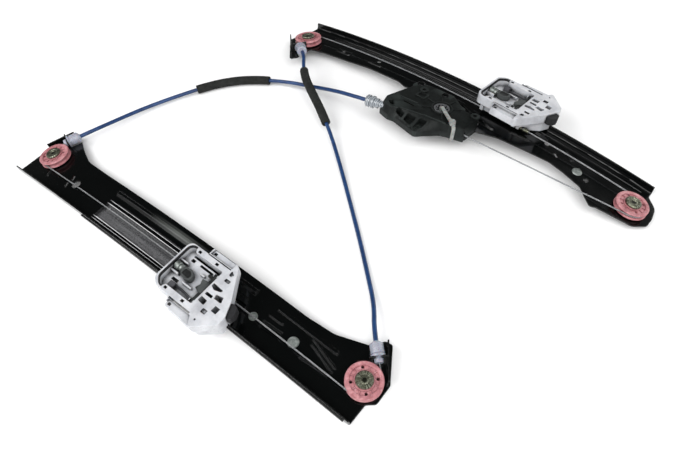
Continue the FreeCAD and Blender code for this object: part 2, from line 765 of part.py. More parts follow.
def zip_tie():
    """A strap through the drum's hub and round the housing's edge, pulled up in its head."""
    low = housing_foot - 0.4
    top = housing_top + 1.4
    near = -2.6
    far = rim_reach(tie_heading, tie_width) + tie_gap
    frame = [(near, low - tie_thick, 2.5), (far + tie_thick, low - tie_thick, 2.0),
             (far + tie_thick, top + tie_thick, 5), (near, top + tie_thick, 2.5)]
    hole = [(near + tie_thick, low, 1.3), (far, low, 0.8), (far, top, 3.8), (near + tie_thick, top, 1.3)]
    ring = Part.Face(outline(frame, upright)).extrude(V(0, tie_width, 0))
    inner = Part.Face(outline(hole, upright)).extrude(V(0, tie_width, 0))
    strap = ring.cut(inner)
    head = block(far - 9, far - 2.5, -1.2, tie_width + 1.2, top - 0.1, top + 4.6, 1.0)
    tail = block(far - 12, far - 8.5, 0.2, tie_width - 0.2, top + 2.0, top + 3.2)
    strap = strap.fuse([head, tail])
    strap.translate(V(0, -tie_width / 2, 0))
    strap.rotate(V(), V(0, 0, 1), tie_heading)
    return strap


def rivet(low, high):
    """A domed blind rivet through the housing's ledge and the sheet."""
    r = rivet_shank / 2
    return turned([(0, low - 1.8), (r + 0.6, low - 1.8), (r + 1.4, low - 0.6), (r + 1.4, low),
                   (r, low), (r, high), (r + 2.4, high), (r + 1.9, high + 1.1), (0, high + 1.7)])


def plugs(places):
    """Pressed-in caps that close tooling holes; each place is x, y and the hole's diameter."""
    caps = []
    for x, y, hole in places:
        r = hole / 2
        cap = turned([(0, underside), (r, underside), (r, deck), (r + 0.9, deck), (r + 0.3, deck + 1.1),
                      (0, deck + 1.3)])
        caps.append(placed(cap, x, y))
    return caps


# Glass carriers, drawn at the crown with y measured from the lip
carrier_plan = [(-45, -41.2, 7), (-19.2, -41.2), (-19.2, -49.6, 1.5), (15.8, -49.6, 6), (38, -16.3, 3),
                (45, -0.3, 3), (45, 9.6, 4), (24.3, 27.6, 5), (-13.8, 25.6, 2), (-15.9, 16.6),
                (-36, 16.2, 9), (-45, 9.7, 9)]
carrier_pocket = [(-41.4, -38.6, 6), (-33.5, -38.6, 1.5), (-31, -34.5, 1.5), (pocket_end, -34.5, 2),
                  (pocket_end, 9.2, 2), (-28.8, 9.2, 1.5), (-30.6, 12.6, 1.5), (-35, 12.6, 7),
                  (-41.4, 6.5, 6)]
seal_plan = [(-41.4 - seal_width, -38.6 - seal_width, 6 + seal_width), (-33.5, -38.6 - seal_width),
             (-33.5, -30), (-30.6, 5), (-30.6, 12.6 + seal_width), (-35, 12.6 + seal_width, 7 + seal_width),
             (-41.4 - seal_width, 6.5, 6 + seal_width)]
wing_slots = ((-19.5, 13, -41.8, -40.6), (-15.5, 14, 16.4, 18.4))
floor_windows = ((-35, 7.2, -34.3, -31.7), (-22, -3.4, -30.1, -27.5), (-34.4, -29.4, -30.2, -26.6),
                 (-35.6, -26.6, -3.2, 0.2))
core_holes = ((-27.8, -37.3), (-3.3, -37.3), (-26.2, 12.2), (-1.3, 12.4), (-14.4, -46.0), (-10.5, 22.1))
core_hole_length = 3.8
core_hole_width = 3.0


def carrier_room(lip):
    """The space that the sheet, its lip and the cable need over the carrier's travel."""
    over = lip - 0.2
    sheet_room = band([(-60, underside - slide_gap), (over + 2.2, underside - slide_gap),
                       (over + 2.2, deck + lip_rise + slide_gap),
                       (lip - sheet - slide_gap, deck + lip_rise + slide_gap),
                       (lip - sheet - slide_gap, deck + slide_gap), (-60, deck + slide_gap)],
                      -70, 70)
    cable_room = band([(wind_radius - 1.6, -30), (wind_radius + 1.6, -30),
                       (wind_radius + 1.6, cable_level + 1.6), (wind_radius - 1.6, cable_level + 1.6)],
                      -70, 70)
    return [sheet_room, cable_room]


def carrier_body(lip):
    """The moulded carrier: an open tray for the glass clamp on a deep ribbed nose."""
    low = deck + nose_rise
    tray = prism(carrier_plan, tray_floor, carrier_top)
    nose = prism([(11, -32, 3), (16, -32, 4), (37, -14, 4), (43, 0, 4), (43, 8, 4), (24, 24, 5),
                  (11, 24, 3)], low, tray_floor + 1)
    keel = block(-40, 12, -34, -19, low + 1.3, tray_floor + 1, 2)
    saddle = block(-slider_half, 12, -9, 8.5, slider_top, tray_floor + 1, 2)
    solid = tray.fuse([nose, keel, saddle])
    cuts = [prism(carrier_pocket, tray_floor + floor_skin, carrier_top + 1),
            prism(seal_plan, carrier_top - seal_depth, carrier_top + 1)]
    cuts += [block(*sides, tray_floor - 1, carrier_top + 1) for sides in wing_slots]
    cuts += [block(*sides, -20, tray_floor + floor_skin + 1, 0.8) for sides in floor_windows]
    cuts += small_windows() + nose_pockets()
    cuts.append(prism([(-18, -60), (13, -60), (13, -42.6), (-18, -42.6)], 17.2, 30))
    cuts.append(prism([(-14, 18.6), (16, 18.6), (22, 27.5), (22, 40), (-20, 40)], 17.2, 30))
    solid = solid.cut(cuts)
    solid = solid.fuse(tray_ribs())
    solid.translate(V(0, lip, 0))
    grip = slider_room(lip)
    pocket = nipple_pocket()
    return solid.cut(carrier_room(lip) + [grip, pocket])


def small_windows():
    """The square core holes along the two long sides."""
    a = core_hole_length / 2
    b = core_hole_width / 2
    return [block(x - a, x + a, y - b, y + b, 0, 30, 0.4) for x, y in core_holes]


def nose_pockets():
    """The pockets and shallow recesses between the ribs of the nose."""
    deep = 2.0
    middle = 7.0
    shallow = carrier_top - 2.4
    return [prism([(9.6, -20.6, 0.8), (23.4, -19.6, 0.8), (22.4, -16.9, 0.8), (15, -14.8, 1),
                   (9.6, -17, 0.8)], deep, 30),
            block(28.9, 35.5, -3.6, 3.1, -30, 30, 0.6),
            block(10.8, 19.6, -9.6, -6.4, middle, 30, 0.6),
            prism([(20.6, -12.8, 1), (29.4, -14.4, 1), (31.6, -8.2, 1), (21.8, -8, 1)], deep, 30),
            prism([(10.0, -3.2, 1), (18.4, -2.4, 1), (18.8, 3.2, 1), (10.0, 2.4, 1)], middle, 30),
            prism([(14.8, -41.4, 0.8), (20.0, -38.4, 0.8), (18.0, -35.2, 0.8), (15.2, -36, 0.8)],
                  shallow, 30),
            block(15.8, 22.4, -31.6, -28, shallow, 30, 0.8),
            block(21, 27, 5, 10, shallow, 30, 0.8),
            disc(2.0, tray_floor, 30, 23.1, 18.8)]


def tray_ribs():
    """Rails and bearing posts moulded in the tray."""
    base = tray_floor + floor_skin - 0.2
    posts = [block(0.4, 6.7, -29.6, -27.0, base, 17, 0.6), block(0.4, 6.7, 4.6, 7.6, base, 17, 0.6)]
    cradle = Part.makeCylinder(lever_shaft / 2 + fit_gap, 60, V(lever_x, -40, lever_level), V(0, 1, 0))
    mouth = block(lever_x - lever_shaft / 2 + 0.1, lever_x + lever_shaft / 2 - 0.1, -40, 20, lever_level, 25)
    posts = [p.cut([cradle, mouth]) for p in posts]
    ribs = [block(-13, -7, -22.0, -20.4, base, 14), block(-21, -8, -4.2, -2.6, base, 14),
            block(-41.6, -31.0, -22.2, -20.6, base, 15.5), block(-41.6, -31.0, -8.0, -6.4, base, 15.5)]
    return posts + ribs


def slider_limits(lip):
    """The inner and outer faces and the foot of the guide shoe."""
    return lip - 6.5, lip + 5.0, underside - slide_gap - 2.2


def slider_room(lip):
    in_low, out, foot = slider_limits(lip)
    return band([(in_low, foot - 5), (out, foot - 5), (out, slider_top), (in_low, slider_top)],
                -slider_half, slider_half - 4)


def slider(lip):
    """The C section shoe that grips the lip and hooks under the sheet."""
    in_low, out, foot = slider_limits(lip)
    top = slider_top
    skin = 0.05
    section = [(in_low + skin, top - skin), (out - skin, top - skin), (out - skin, foot, 1.5),
               (in_low + skin, foot), (in_low + skin, underside - slide_gap),
               (lip + 2.0, underside - slide_gap), (lip + 2.0, deck + lip_rise + slide_gap),
               (lip - sheet - slide_gap, deck + lip_rise + slide_gap),
               (lip - sheet - slide_gap, deck + slide_gap, bend_radius - slide_gap),
               (in_low + skin, deck + slide_gap)]
    return band(section, -slider_half + skin, slider_half - 4 - skin)


def nipple_pocket():
    """The bottom pocket for the two cable ends, drawn at the cable."""
    r = nipple_diameter / 2 + 0.2
    start = V(12.5, wind_radius, cable_level)
    bore = Part.makeCylinder(r, 2 * nipple_length + 3.4, start, V(1, 0, 0))
    slot = block(12.5, 15.9 + 2 * nipple_length, wind_radius - r, wind_radius + r, -30, cable_level)
    return bore.fuse(slot)


def nipples():
    r = nipple_diameter / 2
    hole = cable_radius + 0.6
    barrels = []
    for i in range(2):
        start = 12.9 + i * (nipple_length + 2.2)
        barrel = Part.makeCylinder(r, nipple_length, V(start, wind_radius, cable_level), V(1, 0, 0))
        bore = Part.makeCylinder(hole, nipple_length + 2, V(start - 1, wind_radius, cable_level), V(1, 0, 0))
        barrels.append(barrel.cut(bore))
    return Part.makeCompound(barrels)


def seal(lip):
    """The rubber strip let into the top of the tray's rounded end."""
    skin = 0.05
    low = carrier_top - seal_depth
    plan = [(x + skin if x < -40 else x, y, *radius) for x, y, *radius in seal_plan]
    strip = prism(plan, low, carrier_top + 0.4).cut(prism(carrier_pocket, low - 1, carrier_top + 2))
    strip.translate(V(0, lip, 0))
    return strip


def bumper(lip):
    """The rubber stop on the carrier's nose."""
    stop = prism([(38.2, -14.6), (42, -16.5, 2), (47, -15, 3), (50, -8, 3), (49, -2, 2), (46.0, -0.6),
                  (43.9, -1.4)], tray_floor + 0.5, 18)
    stop = stop.cut(prism(carrier_plan, 0, 30))
    stop.translate(V(0, lip, 0))
    return stop


def clamp_screw(lip):
    """The knurled clamp screw lying along the tray."""
    knurl = turned([(0, 0), (4.0, 0), (4.4, 0.6), (4.4, 5.2), (4.0, 5.8), (2.8, 5.8), (2.8, 7.0), (3.7, 7.0),
                    (3.7, 9.2), (screw_point, 10.2), (screw_point, screw_length), (0, screw_length)])
    grooves = []
    for i in range(16):
        groove = block(4.0, 5.2, -0.3, 0.3, 0.9, 4.9)
        groove.rotate(V(), V(0, 0, 1), 22.5 * i)
        grooves.append(groove)
    screw = knurl.cut(grooves)
    screw.rotate(V(), V(0, 1, 0), 90)
    screw.translate(V(screw_start, lip + screw_side, screw_level))
    return screw


def clamp_pad(lip):
    """The rounded pad at the screw's point."""
    level = tray_floor + floor_skin
    shell = prism([(-29.9, -17.4, 2), (-21, -18.6, 4), (-14.4, -13.6, 5), (-14.8, -7.4, 3),
                   (-24, -6.6, 3), (-29.9, -9.6, 2)], level, 16.6)
    dimple = prism([(-27.5, -15.6, 1.5), (-21, -16.4, 3), (-17, -13, 3), (-17.4, -9, 1.5),
                    (-27.5, -9.6, 1.5)], 15.8, 18)
    mouth = V(screw_start + screw_length + fit_gap, screw_side, screw_level)
    bore = Part.makeCylinder(screw_point + fit_gap, 5, mouth, V(-1, 0, 0))
    shell = shell.cut([dimple, bore])
    shell.translate(V(0, lip, 0))
    return shell


def lever(lip):
    """The rocking clamp lever: a shaft across the tray with a broad waisted hub and a short finger."""
    r = lever_shaft / 2
    shaft = Part.makeCylinder(r, 37.6, V(lever_x, -30.2, lever_level), V(0, 1, 0))
    hub = prism([(-5.4, -17.8, 1.2), (1.2, -18.8, 1.2), (pocket_end - 0.9, -13.4, 1.2),
                 (pocket_end - 0.9, -7.0, 1.2), (3.2, -3.6, 1.2), (-4.8, -6.6, 1.2), (-2.6, -12, 2)],
                lever_level - 1.9, lever_level + 2.4)
    boss = Part.makeCylinder(2.9, 13, V(lever_x, -18.0, lever_level), V(0, 1, 0))
    finger = block(lever_x - 7.6, lever_x, -26.4, -23.2, lever_level - 1.4, lever_level + 1.4, 1.0)
    neck = block(lever_x - 1.6, lever_x + 1.6, -25.0, 3.8, lever_level - 1.6, lever_level + 1.6, 0.8)
    solid = shaft.fuse([hub, boss, finger, neck])
    solid.translate(V(0, lip, 0))
    return solid


def lever_spring(lip):
    """The bent wire that holds the clamp lever down, on its moulded foot at the tray's side."""
    r = 1.1
    floor = tray_floor + floor_skin
    level = floor + 2.0
    points = [V(-25, 3.4, level), V(-18, 3.0, level), V(-9, 3.6, level), V(-1.2, 4.6, level)]
    runs = [rod(points[i], points[i + 1], r) for i in range(3)]
    joints = [Part.makeSphere(r, p) for p in points[1:3]]
    foot = block(-31.2, -23.4, 1.6, 7.8, floor, floor + 4.6, 1.0)
    solid = runs[0].fuse(runs[1:] + joints + [foot])
    solid.translate(V(0, lip, 0))
    return solid


# From a rail's own frame to the assembly
def rail_matrix(flip, level, roll, yaw, shift):
    """Levels the rail on its ends, rolls and turns it, and moves it to its place."""
    tip = FreeCAD.Rotation(V(0, 1, 0), math.degrees(-level / rail_radius))
    crown = FreeCAD.Placement(V(), tip, rail_centre)
    back = FreeCAD.Placement(V(level, 0, 0), FreeCAD.Rotation())
    rolled = FreeCAD.Placement(V(), FreeCAD.Rotation(V(1, 0, 0), roll))
    turned_about = FreeCAD.Placement(V(), FreeCAD.Rotation(V(0, 0, 1), yaw))
    moved = FreeCAD.Placement(shift, FreeCAD.Rotation())
    placement = moved.multiply(turned_about).multiply(rolled).multiply(back).multiply(crown)
    matrix = placement.toMatrix()
    if flip:
        mirror = FreeCAD.Matrix()
        mirror.A22 = -1
        matrix = matrix.multiply(mirror)
    return matrix


def lift_of(solid, flip, level, roll, yaw):
    """How far the rail is raised for its lowest edge to touch the ground."""
    at_zero = moved_by(solid, rail_matrix(flip, level, roll, yaw, V()), flip)
    return -at_zero.optimalBoundingBox().ZMin


def moved_by(shape, matrix, flip):
    if flip:
        shape = shape.mirror(V(), V(0, 1, 0))
        unflip = FreeCAD.Matrix()
        unflip.A22 = -1
        matrix = matrix.multiply(unflip)
    moved = shape.copy()
    moved.Placement = FreeCAD.Placement(matrix).multiply(moved.Placement)
    return moved


def build_rail_parts():
    """Every piece that is drawn in a rail's frame, by node name, with the rail it belongs to."""
    slave = {}
    drive = {}
    slave["slave_rail"] = finish_rail(
        slave_sheet(),
        [(-1, -27.0, -6, -14.0, -40, -0.5), (1, -6.2, -46, 18.3, -13.6, 1.0)],
        [(slave_left_heading, -1, slave_tab_distance), (slave_right_heading, 1, slave_tab_distance)])
    drive["drive_rail"] = finish_rail(
        drive_sheet(), [(-1, -28, -8.5, 16, -50.5, 0.0)],
        [(drive_left_heading, -1, drive_tab_distance)])
    for parts, name in ((slave, "slave"), (drive, "drive")):
        wheels = at_ends(pulley())
        pins = at_ends(axle())
        for side, wheel, pin in zip(("left", "right"), wheels, pins):
            parts[name + "_" + side + "_pulley"] = wheel
            parts[name + "_" + side + "_axle"] = pin
        parts[name + "_pulley_washers"] = Part.makeCompound(at_ends(washer()))
    slave["slave_left_ferrule"] = on_cable(ferrule(), slave_left_heading, -1, slave_tab_distance)
    slave["slave_right_ferrule"] = on_cable(ferrule(), slave_right_heading, 1, slave_tab_distance)
    drive["drive_left_ferrule"] = on_cable(ferrule(), drive_left_heading, -1, drive_tab_distance)
    slave_reach = seat_reach(slave_tab_distance)
    drive_reach = seat_reach(drive_tab_distance)
    slave_join = slave_carrier_x + join_ahead
    drive_join = drive_carrier_x + join_ahead
    slave["up_cable_rail_run"] = fused([rail_run(-half_span, slave_join)]
                                       + end_run(slave_left_heading, -1, slave_reach))
    slave["link_cable_slave_run"] = fused([rail_run(slave_join, half_span)]
                                          + end_run(slave_right_heading, 1, slave_reach))
    drive["link_cable_drive_run"] = fused([rail_run(-half_span, drive_join)]
                                          + end_run(drive_left_heading, -1, drive_reach))
    drive["down_cable"] = fused([rail_run(drive_join, half_span)] + return_run())
    drive["up_cable_drum_run"] = at_drum(drum_feed())
    drive["drum_housing"] = at_drum(housing())
    drive["cable_drum"] = at_drum(drum())
    drive["drum_cable_turns"] = at_drum(drum_cable())
    drive["housing_adjuster"] = at_drum(nozzle())
    drive["zip_tie"] = at_drum(zip_tie())
    rivets = [at_drum(placed_flat(rivet(underside, housing_top), x, y)) for x, y in rivet_places]
    drive["housing_rivets"] = Part.makeCompound([r.cut(drive["drive_rail"]) for r in rivets])
    slave["slave_rail_plugs"] = Part.makeCompound(plugs(slave_plug_places))
    drive["drive_rail_plug"] = plugs(drive_plug_places)[0]
    for parts, name, lip, x in ((slave, "slave", slave_lip, slave_carrier_x),
                                (drive, "drive", drive_lip, drive_carrier_x)):
        pieces = {"carrier": carrier_body(lip), "slider": slider(lip), "cable_nipples": nipples(),
                  "tray_seal": seal(lip), "bumper": bumper(lip), "clamp_screw": clamp_screw(lip),
                  "clamp_pad": clamp_pad(lip), "clamp_lever": lever(lip), "lever_spring": lever_spring(lip)}
        for piece, solid in pieces.items():
            parts[name + "_" + piece] = along(solid, x)
    return slave, drive


def placed_flat(shape, x, y):
    moved = shape.copy()
    moved.translate(V(x, y, 0))
    return moved


def matrices(slave, drive):
    slave_lift = lift_of(slave["slave_rail"], True, slave_level, slave_roll, 0)
    drive_lift = lift_of(drive["drive_rail"], False, drive_level, drive_roll, drive_yaw)
    slave_matrix = rail_matrix(True, slave_level, slave_roll, 0, V(-frame_x, -frame_y, slave_lift))
    drive_matrix = rail_matrix(False, drive_level, drive_roll, drive_yaw,
                               V(drive_offset_x - frame_x, drive_offset_y - frame_y, drive_lift))
    return slave_matrix, drive_matrix


# Sheaths, whose routes are straight runs joined by tangent arcs, and their foam sleeves
def route_edges(points, name):
    """Runs and arcs in turn, as edges; prints each arc's radius."""
    runs = [(points[i + 1] - points[i]).Length for i in range(len(points) - 1)]
    edges = []
    radii = []
    start = points[0]
    for i in range(1, len(points) - 1):
        back = (points[i - 1] - points[i]).normalize()
        ahead = (points[i + 1] - points[i]).normalize()
        half_turn = (math.pi - back.getAngle(ahead)) / 2
        reach = 0.45 * min(runs[i - 1], runs[i])
        radius = reach / math.tan(half_turn)
        middle = points[i] + (back + ahead).normalize() * (radius / math.cos(half_turn) - radius)
        edges.append(Part.LineSegment(start, points[i] + back * reach).toShape())
        edges.append(Part.Arc(points[i] + back * reach, middle, points[i] + ahead * reach).toShape())
        start = points[i] + ahead * reach
        radii.append(round(radius))
    edges.append(Part.LineSegment(start, points[-1]).toShape())
    print(name, "runs", [round(run) for run in runs], "radii", radii)
    return edges


def tube(edges, diameter):
    path = Part.Wire(edges)
    start = path.Vertexes[0].Point
    way = edges[0].tangentAt(edges[0].FirstParameter)
    ring = Part.Wire(Part.makeCircle(diameter / 2, start, way))
    return path.makePipeShell([ring], True, False)


def sleeve(edges, span):
    """A foam tube from the straight after one route point to the straight before another."""
    stretch = edges[2 * span[0]:2 * span[1] - 1]
    return tube(stretch, sleeve_diameter).cut(tube(stretch, sleeve_bore))


def ferrule_end(heading, end, distance, matrix):
    """A sheath's seat in its ferrule, and the point that it runs straight out to."""
    marks = [on_cable(Part.Vertex(V(reach, 0, 0)), heading, end, distance)
             for reach in (sheath_seat, sheath_seat + sheath_lead)]
    return [matrix.multVec(mark.Point) for mark in marks]


def adjuster_end(matrix):
    start = drum_leave(nozzle_heading, 1) + V(0, 0, drum_level)
    way = heading_vector(nozzle_heading)
    seat = nozzle_seat + nozzle_nose + sheath_seat
    marks = [at_drum(Part.Vertex(start + way * reach)) for reach in (seat, seat + sheath_lead)]
    return [matrix.multVec(mark.Point) for mark in marks]


def build_sheaths(slave_matrix, drive_matrix):
    up_start = ferrule_end(slave_left_heading, -1, slave_tab_distance, slave_matrix)
    up_end = adjuster_end(drive_matrix)
    link_start = ferrule_end(slave_right_heading, 1, slave_tab_distance, slave_matrix)
    link_end = ferrule_end(drive_left_heading, -1, drive_tab_distance, drive_matrix)
    parts = {}
    for name, start, route, end, span in (("up", up_start, up_route, up_end, up_sleeve_index),
                                          ("link", link_start, link_route, link_end, link_sleeve_index)):
        points = start + [V(*point) for point in route] + [end[1], end[0]]
        edges = route_edges(points, name)
        solid = tube(edges, sheath_diameter)
        length = sum(edge.Length for edge in edges)
        section = math.pi * sheath_diameter ** 2 / 4
        print(name, "ends", [tuple(round(v, 2) for v in p) for p in points[:2] + points[-2:]])
        print(name, "length", round(length, 1), "volume over section times length",
              round(solid.Volume / section / length, 4))
        parts[name + "_cable_sheath"] = solid
        parts[name + "_sheath_sleeve"] = sleeve(edges, span)
    return parts


def build():
    slave, drive = build_rail_parts()
    slave_matrix, drive_matrix = matrices(slave, drive)
    nodes = {name: moved_by(shape, slave_matrix, True) for name, shape in slave.items()}
    nodes.update({name: moved_by(shape, drive_matrix, False) for name, shape in drive.items()})
    nodes.update(build_sheaths(slave_matrix, drive_matrix))
    return nodes, slave_matrix, drive_matrix


nodes, slave_matrix, drive_matrix = build()
os.makedirs("parts", exist_ok=True)
for name, shape in nodes.items():
    shape.exportStep("parts/" + name + ".step")
whole = Part.makeCompound(list(nodes.values())).optimalBoundingBox()
print("box", whole)
for name, shape in nodes.items():
    print(name, len(shape.Solids), shape.isValid(), round(shape.Volume))
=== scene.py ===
import json
import math

import bpy
from mathutils import Matrix, Vector, noise


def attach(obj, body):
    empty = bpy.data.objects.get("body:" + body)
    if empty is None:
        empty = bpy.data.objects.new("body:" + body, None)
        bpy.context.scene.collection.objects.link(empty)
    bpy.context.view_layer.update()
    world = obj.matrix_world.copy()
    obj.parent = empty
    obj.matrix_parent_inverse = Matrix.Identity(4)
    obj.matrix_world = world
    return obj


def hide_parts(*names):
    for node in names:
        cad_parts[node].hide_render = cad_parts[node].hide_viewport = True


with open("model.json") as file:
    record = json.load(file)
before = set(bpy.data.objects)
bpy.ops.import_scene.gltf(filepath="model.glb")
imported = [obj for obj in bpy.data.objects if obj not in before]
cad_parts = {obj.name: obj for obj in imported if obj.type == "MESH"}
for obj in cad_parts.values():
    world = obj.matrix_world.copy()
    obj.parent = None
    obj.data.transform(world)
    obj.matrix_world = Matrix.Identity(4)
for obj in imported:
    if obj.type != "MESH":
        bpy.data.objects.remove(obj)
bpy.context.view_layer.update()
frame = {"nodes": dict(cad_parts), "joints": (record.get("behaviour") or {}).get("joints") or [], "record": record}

# Lengths are in millimetres in the assembly's frame unless a comment says otherwise.
MM = 0.001

# The sheaths' routes: the seat in a ferrule, points along the way, and the seat at the far end
UP_ROUTE = [(-308.11, -148.45, 13.11), (-299.94, -128.13, 15.12), (-294.6, -88.0, 9.8),
            (-287.0, -46.0, 5.4), (-267.0, -1.3, 5.8), (-242.6, 43.0, 7.0), (-212.0, 77.0, 7.0),
            (-164.0, 103.5, 8.2), (-118.0, 112.2, 14.5), (-76.0, 111.6, 28.0), (-36.31, 109.57, 37.84),
            (-14.95, 114.73, 36.76)]
LINK_ROUTE = [(189.62, -148.79, 12.51), (173.9, -133.68, 15.42), (153.5, -107.0, 8.2), (127.0, -82.5, 3.6),
              (86.0, -46.0, 2.8), (37.0, -5.0, 3.0), (-5.0, 29.5, 5.5), (-42.0, 58.0, 10.0),
              (-76.0, 79.0, 19.0), (-104.0, 94.0, 25.0), (-126.0, 107.0, 28.0), (-148.0, 127.5, 28.3),
              (-162.49, 145.69, 26.38), (-180.18, 158.07, 22.18)]
UP_LENGTH = 458.0
LINK_LENGTH = 486.0
SHEATH_DIAMETER = 5.0
SHEATH_STEPS = 24
SHEATH_BEVEL_STEPS = 6

# Foam sleeves: the places on the ground beside their two ends, and the tube's size
UP_SLEEVE_ENDS = ((-254.8, 20.0), (-183.4, 94.0))
LINK_SLEEVE_ENDS = ((-57.7, 67.7), (-140.5, 120.5))
SLEEVE_DIAMETER = 12.0
SLEEVE_BORE = 5.6
SLEEVE_STEP = 1.5
SLEEVE_SIDES = 28
# The foam's skin stands back from the full size, with dents, and its cut ends are pinched in
SLEEVE_SHY = 0.25
DENT_DEPTH = 0.22
DENTS_PER_METRE = 55.0
DENTS_ROUND = 0.7
CUT_PINCH = 0.35


# Materials
class Shader:
    """A principled material with helpers that add procedural nodes to it.

    Scales of noise are in features per metre, and colours are linear red, green and blue.
    """

    def __init__(self, name):
        self.material = bpy.data.materials.new(name)
        self.material.use_nodes = True
        self.tree = self.material.node_tree
        self.main = self.tree.nodes["Principled BSDF"]
        self.place = self.tree.nodes.new("ShaderNodeTexCoord")

    def set(self, **values):
        """Set the shader's own sockets, named with underscores for spaces."""
        for socket, value in values.items():
            self.main.inputs[socket.replace("_", " ")].default_value = value
        return self

    def node(self, kind, links=(), **settings):
        """Add a node, with values for its sockets or properties and links into it."""
        made = self.tree.nodes.new(kind)
        for key, value in settings.items():
            if key in made.inputs:
                made.inputs[key].default_value = value
            else:
                setattr(made, key, value)
        for socket, source in links:
            self.tree.links.new(source, made.inputs[socket])
        return made

    def noise(self, scale, detail=3.0, rough=0.55, distortion=0.0, place=None):
        """A cloudy value from zero to one."""
        made = self.node("ShaderNodeTexNoise", [("Vector", place or self.place.outputs["Object"])],
                         Scale=scale, Detail=detail, Roughness=rough, Distortion=distortion)
        return made.outputs["Fac"]

    def stretched(self, scales):
        """The place in the assembly, with its own noise scale each way."""
        made = self.node("ShaderNodeMapping", [("Vector", self.place.outputs["Object"])])
        made.inputs["Scale"].default_value = scales
        return made.outputs["Vector"]

    def ramp(self, source, stops):
        """Colours along a value, each with its position."""
        made = self.node("ShaderNodeValToRGB", [("Fac", source)])
        line = made.color_ramp
        while len(line.elements) < len(stops):
            line.elements.new(0.5)
        for element, (at, colour) in zip(line.elements, stops):
            element.position = at
            element.color = (*colour, 1.0)
        return made.outputs["Color"]

    def spread(self, source, to, out_of=(0.3, 0.7)):
        """Stretch one range of a value to another, and hold it there outside the range."""
        made = self.node("ShaderNodeMapRange", [("Value", source)])
        for socket, value in zip(("From Min", "From Max", "To Min", "To Max"), (*out_of, *to)):
            made.inputs[socket].default_value = value
        return made.outputs["Result"]

    def mix(self, factor, a, b):
        """Colour a where the factor is zero and colour b where it is one."""
        made = self.node("ShaderNodeMix", [(0, factor)], data_type="RGBA")
        first_colour, second_colour, colour_out = 6, 7, 2
        for index, value in ((first_colour, a), (second_colour, b)):
            if isinstance(value, bpy.types.NodeSocket):
                self.tree.links.new(value, made.inputs[index])
            else:
                made.inputs[index].default_value = (*value, 1.0)
        return made.outputs[colour_out]

    def maths(self, operation, a, b):
        """Arithmetic on two values, each a number or a node's output."""
        made = self.node("ShaderNodeMath", operation=operation)
        for index, value in enumerate((a, b)):
            if isinstance(value, bpy.types.NodeSocket):
                self.tree.links.new(value, made.inputs[index])
            else:
                made.inputs[index].default_value = value
        return made.outputs[0]

    def vectors(self, operation, a, b=(0.0, 0.0, 0.0)):
        """Vector arithmetic, as the node's outputs Vector and Value."""
        made = self.node("ShaderNodeVectorMath", [(0, a)], operation=operation)
        made.inputs[1].default_value = b
        return made.outputs

    def along(self, way, offset):
        """How far a point lies along a direction in the assembly, in millimetres."""
        scaled = tuple(w / MM for w in way)
        reached = self.vectors("DOT_PRODUCT", self.place.outputs["Object"], scaled)["Value"]
        return self.maths("ADD", reached, offset)

    def strip(self, source, low, high, soft):
        """One inside a range and nothing outside it."""
        rise = self.spread(source, to=(0.0, 1.0), out_of=(low - soft, low + soft))
        fall = self.spread(source, to=(1.0, 0.0), out_of=(high - soft, high + soft))
        return self.maths("MULTIPLY", rise, fall)

    def edges(self):
        """How much a point stands on a worn outer edge."""
        shape = self.node("ShaderNodeNewGeometry")
        return self.spread(shape.outputs["Pointiness"], to=(0.0, 1.0), out_of=(0.52, 0.6))

    def hollows(self, reach, low, high):
        """Zero in narrow recesses and one in the open, the mask for painted shade in recesses; the reach is in
        millimetres.
        """
        made = self.node("ShaderNodeAmbientOcclusion", samples=8, Distance=reach * MM)
        return self.spread(made.outputs["AO"], to=(0.0, 1.0), out_of=(low, high))

    def colour(self, source):
        self.tree.links.new(source, self.main.inputs["Base Color"])
        return self

    def roughness(self, source):
        self.tree.links.new(source, self.main.inputs["Roughness"])
        return self

    def rough_between(self, low, high, scale, detail=3.0):
        """Roughness that wanders between two values."""
        return self.roughness(self.spread(self.noise(scale, detail), to=(low, high)))

    def bump(self, source, strength, depth, rounding=0.0):
        """Surface relief so many millimetres deep, over edges rounded by a radius in millimetres."""
        made = self.node("ShaderNodeBump", [("Height", source)], Strength=strength, Distance=depth * MM)
        if rounding:
            soft = self.node("ShaderNodeBevel", samples=6, Radius=rounding * MM)
            self.tree.links.new(soft.outputs["Normal"], made.inputs["Normal"])
        self.tree.links.new(made.outputs["Normal"], self.main.inputs["Normal"])
        return self


# The slave rail's directions across and along, each with the offset of its zero
ACROSS = ((0.0, -0.99895, -0.04589), -178.6)
ALONG = ((1.0, 0.0, 0.0), 52.6)
# Its long channel, with the limits across and along and how soft each is
CHANNEL_ACROSS = (10.4, 30.6)
CHANNEL_ALONG = (-121.0, 62.0)
CHANNEL_SOFT = (0.8, 3.0)
# A stretch of painted sheen on the crown rib beside the carrier
SHEEN_ACROSS = (-11.0, -3.5)
SHEEN_ALONG = (-40.0, 24.0)
SHEEN_SOFT = (2.4, 24.0)
# Painted highlight lines along the bend edges, each with its half width: the channel's two edges,
# a line above it and the lip's foot
HIGHLIGHT_LINES = ((9.9, 0.34), (5.6, 0.22), (31.3, 0.38), (34.6, 0.24))
HIGHLIGHT_SOFT = 0.14
HIGHLIGHT_ENDS_SOFT = 4.0


def rail_patch(s, across, along, soft):
    """One in a stretch of the slave rail and nothing outside it."""
    sides = [s.strip(s.along(*line), *limits, edge)
             for line, limits, edge in zip((ACROSS, ALONG), (across, along), soft)]
    return s.maths("MULTIPLY", *sides)


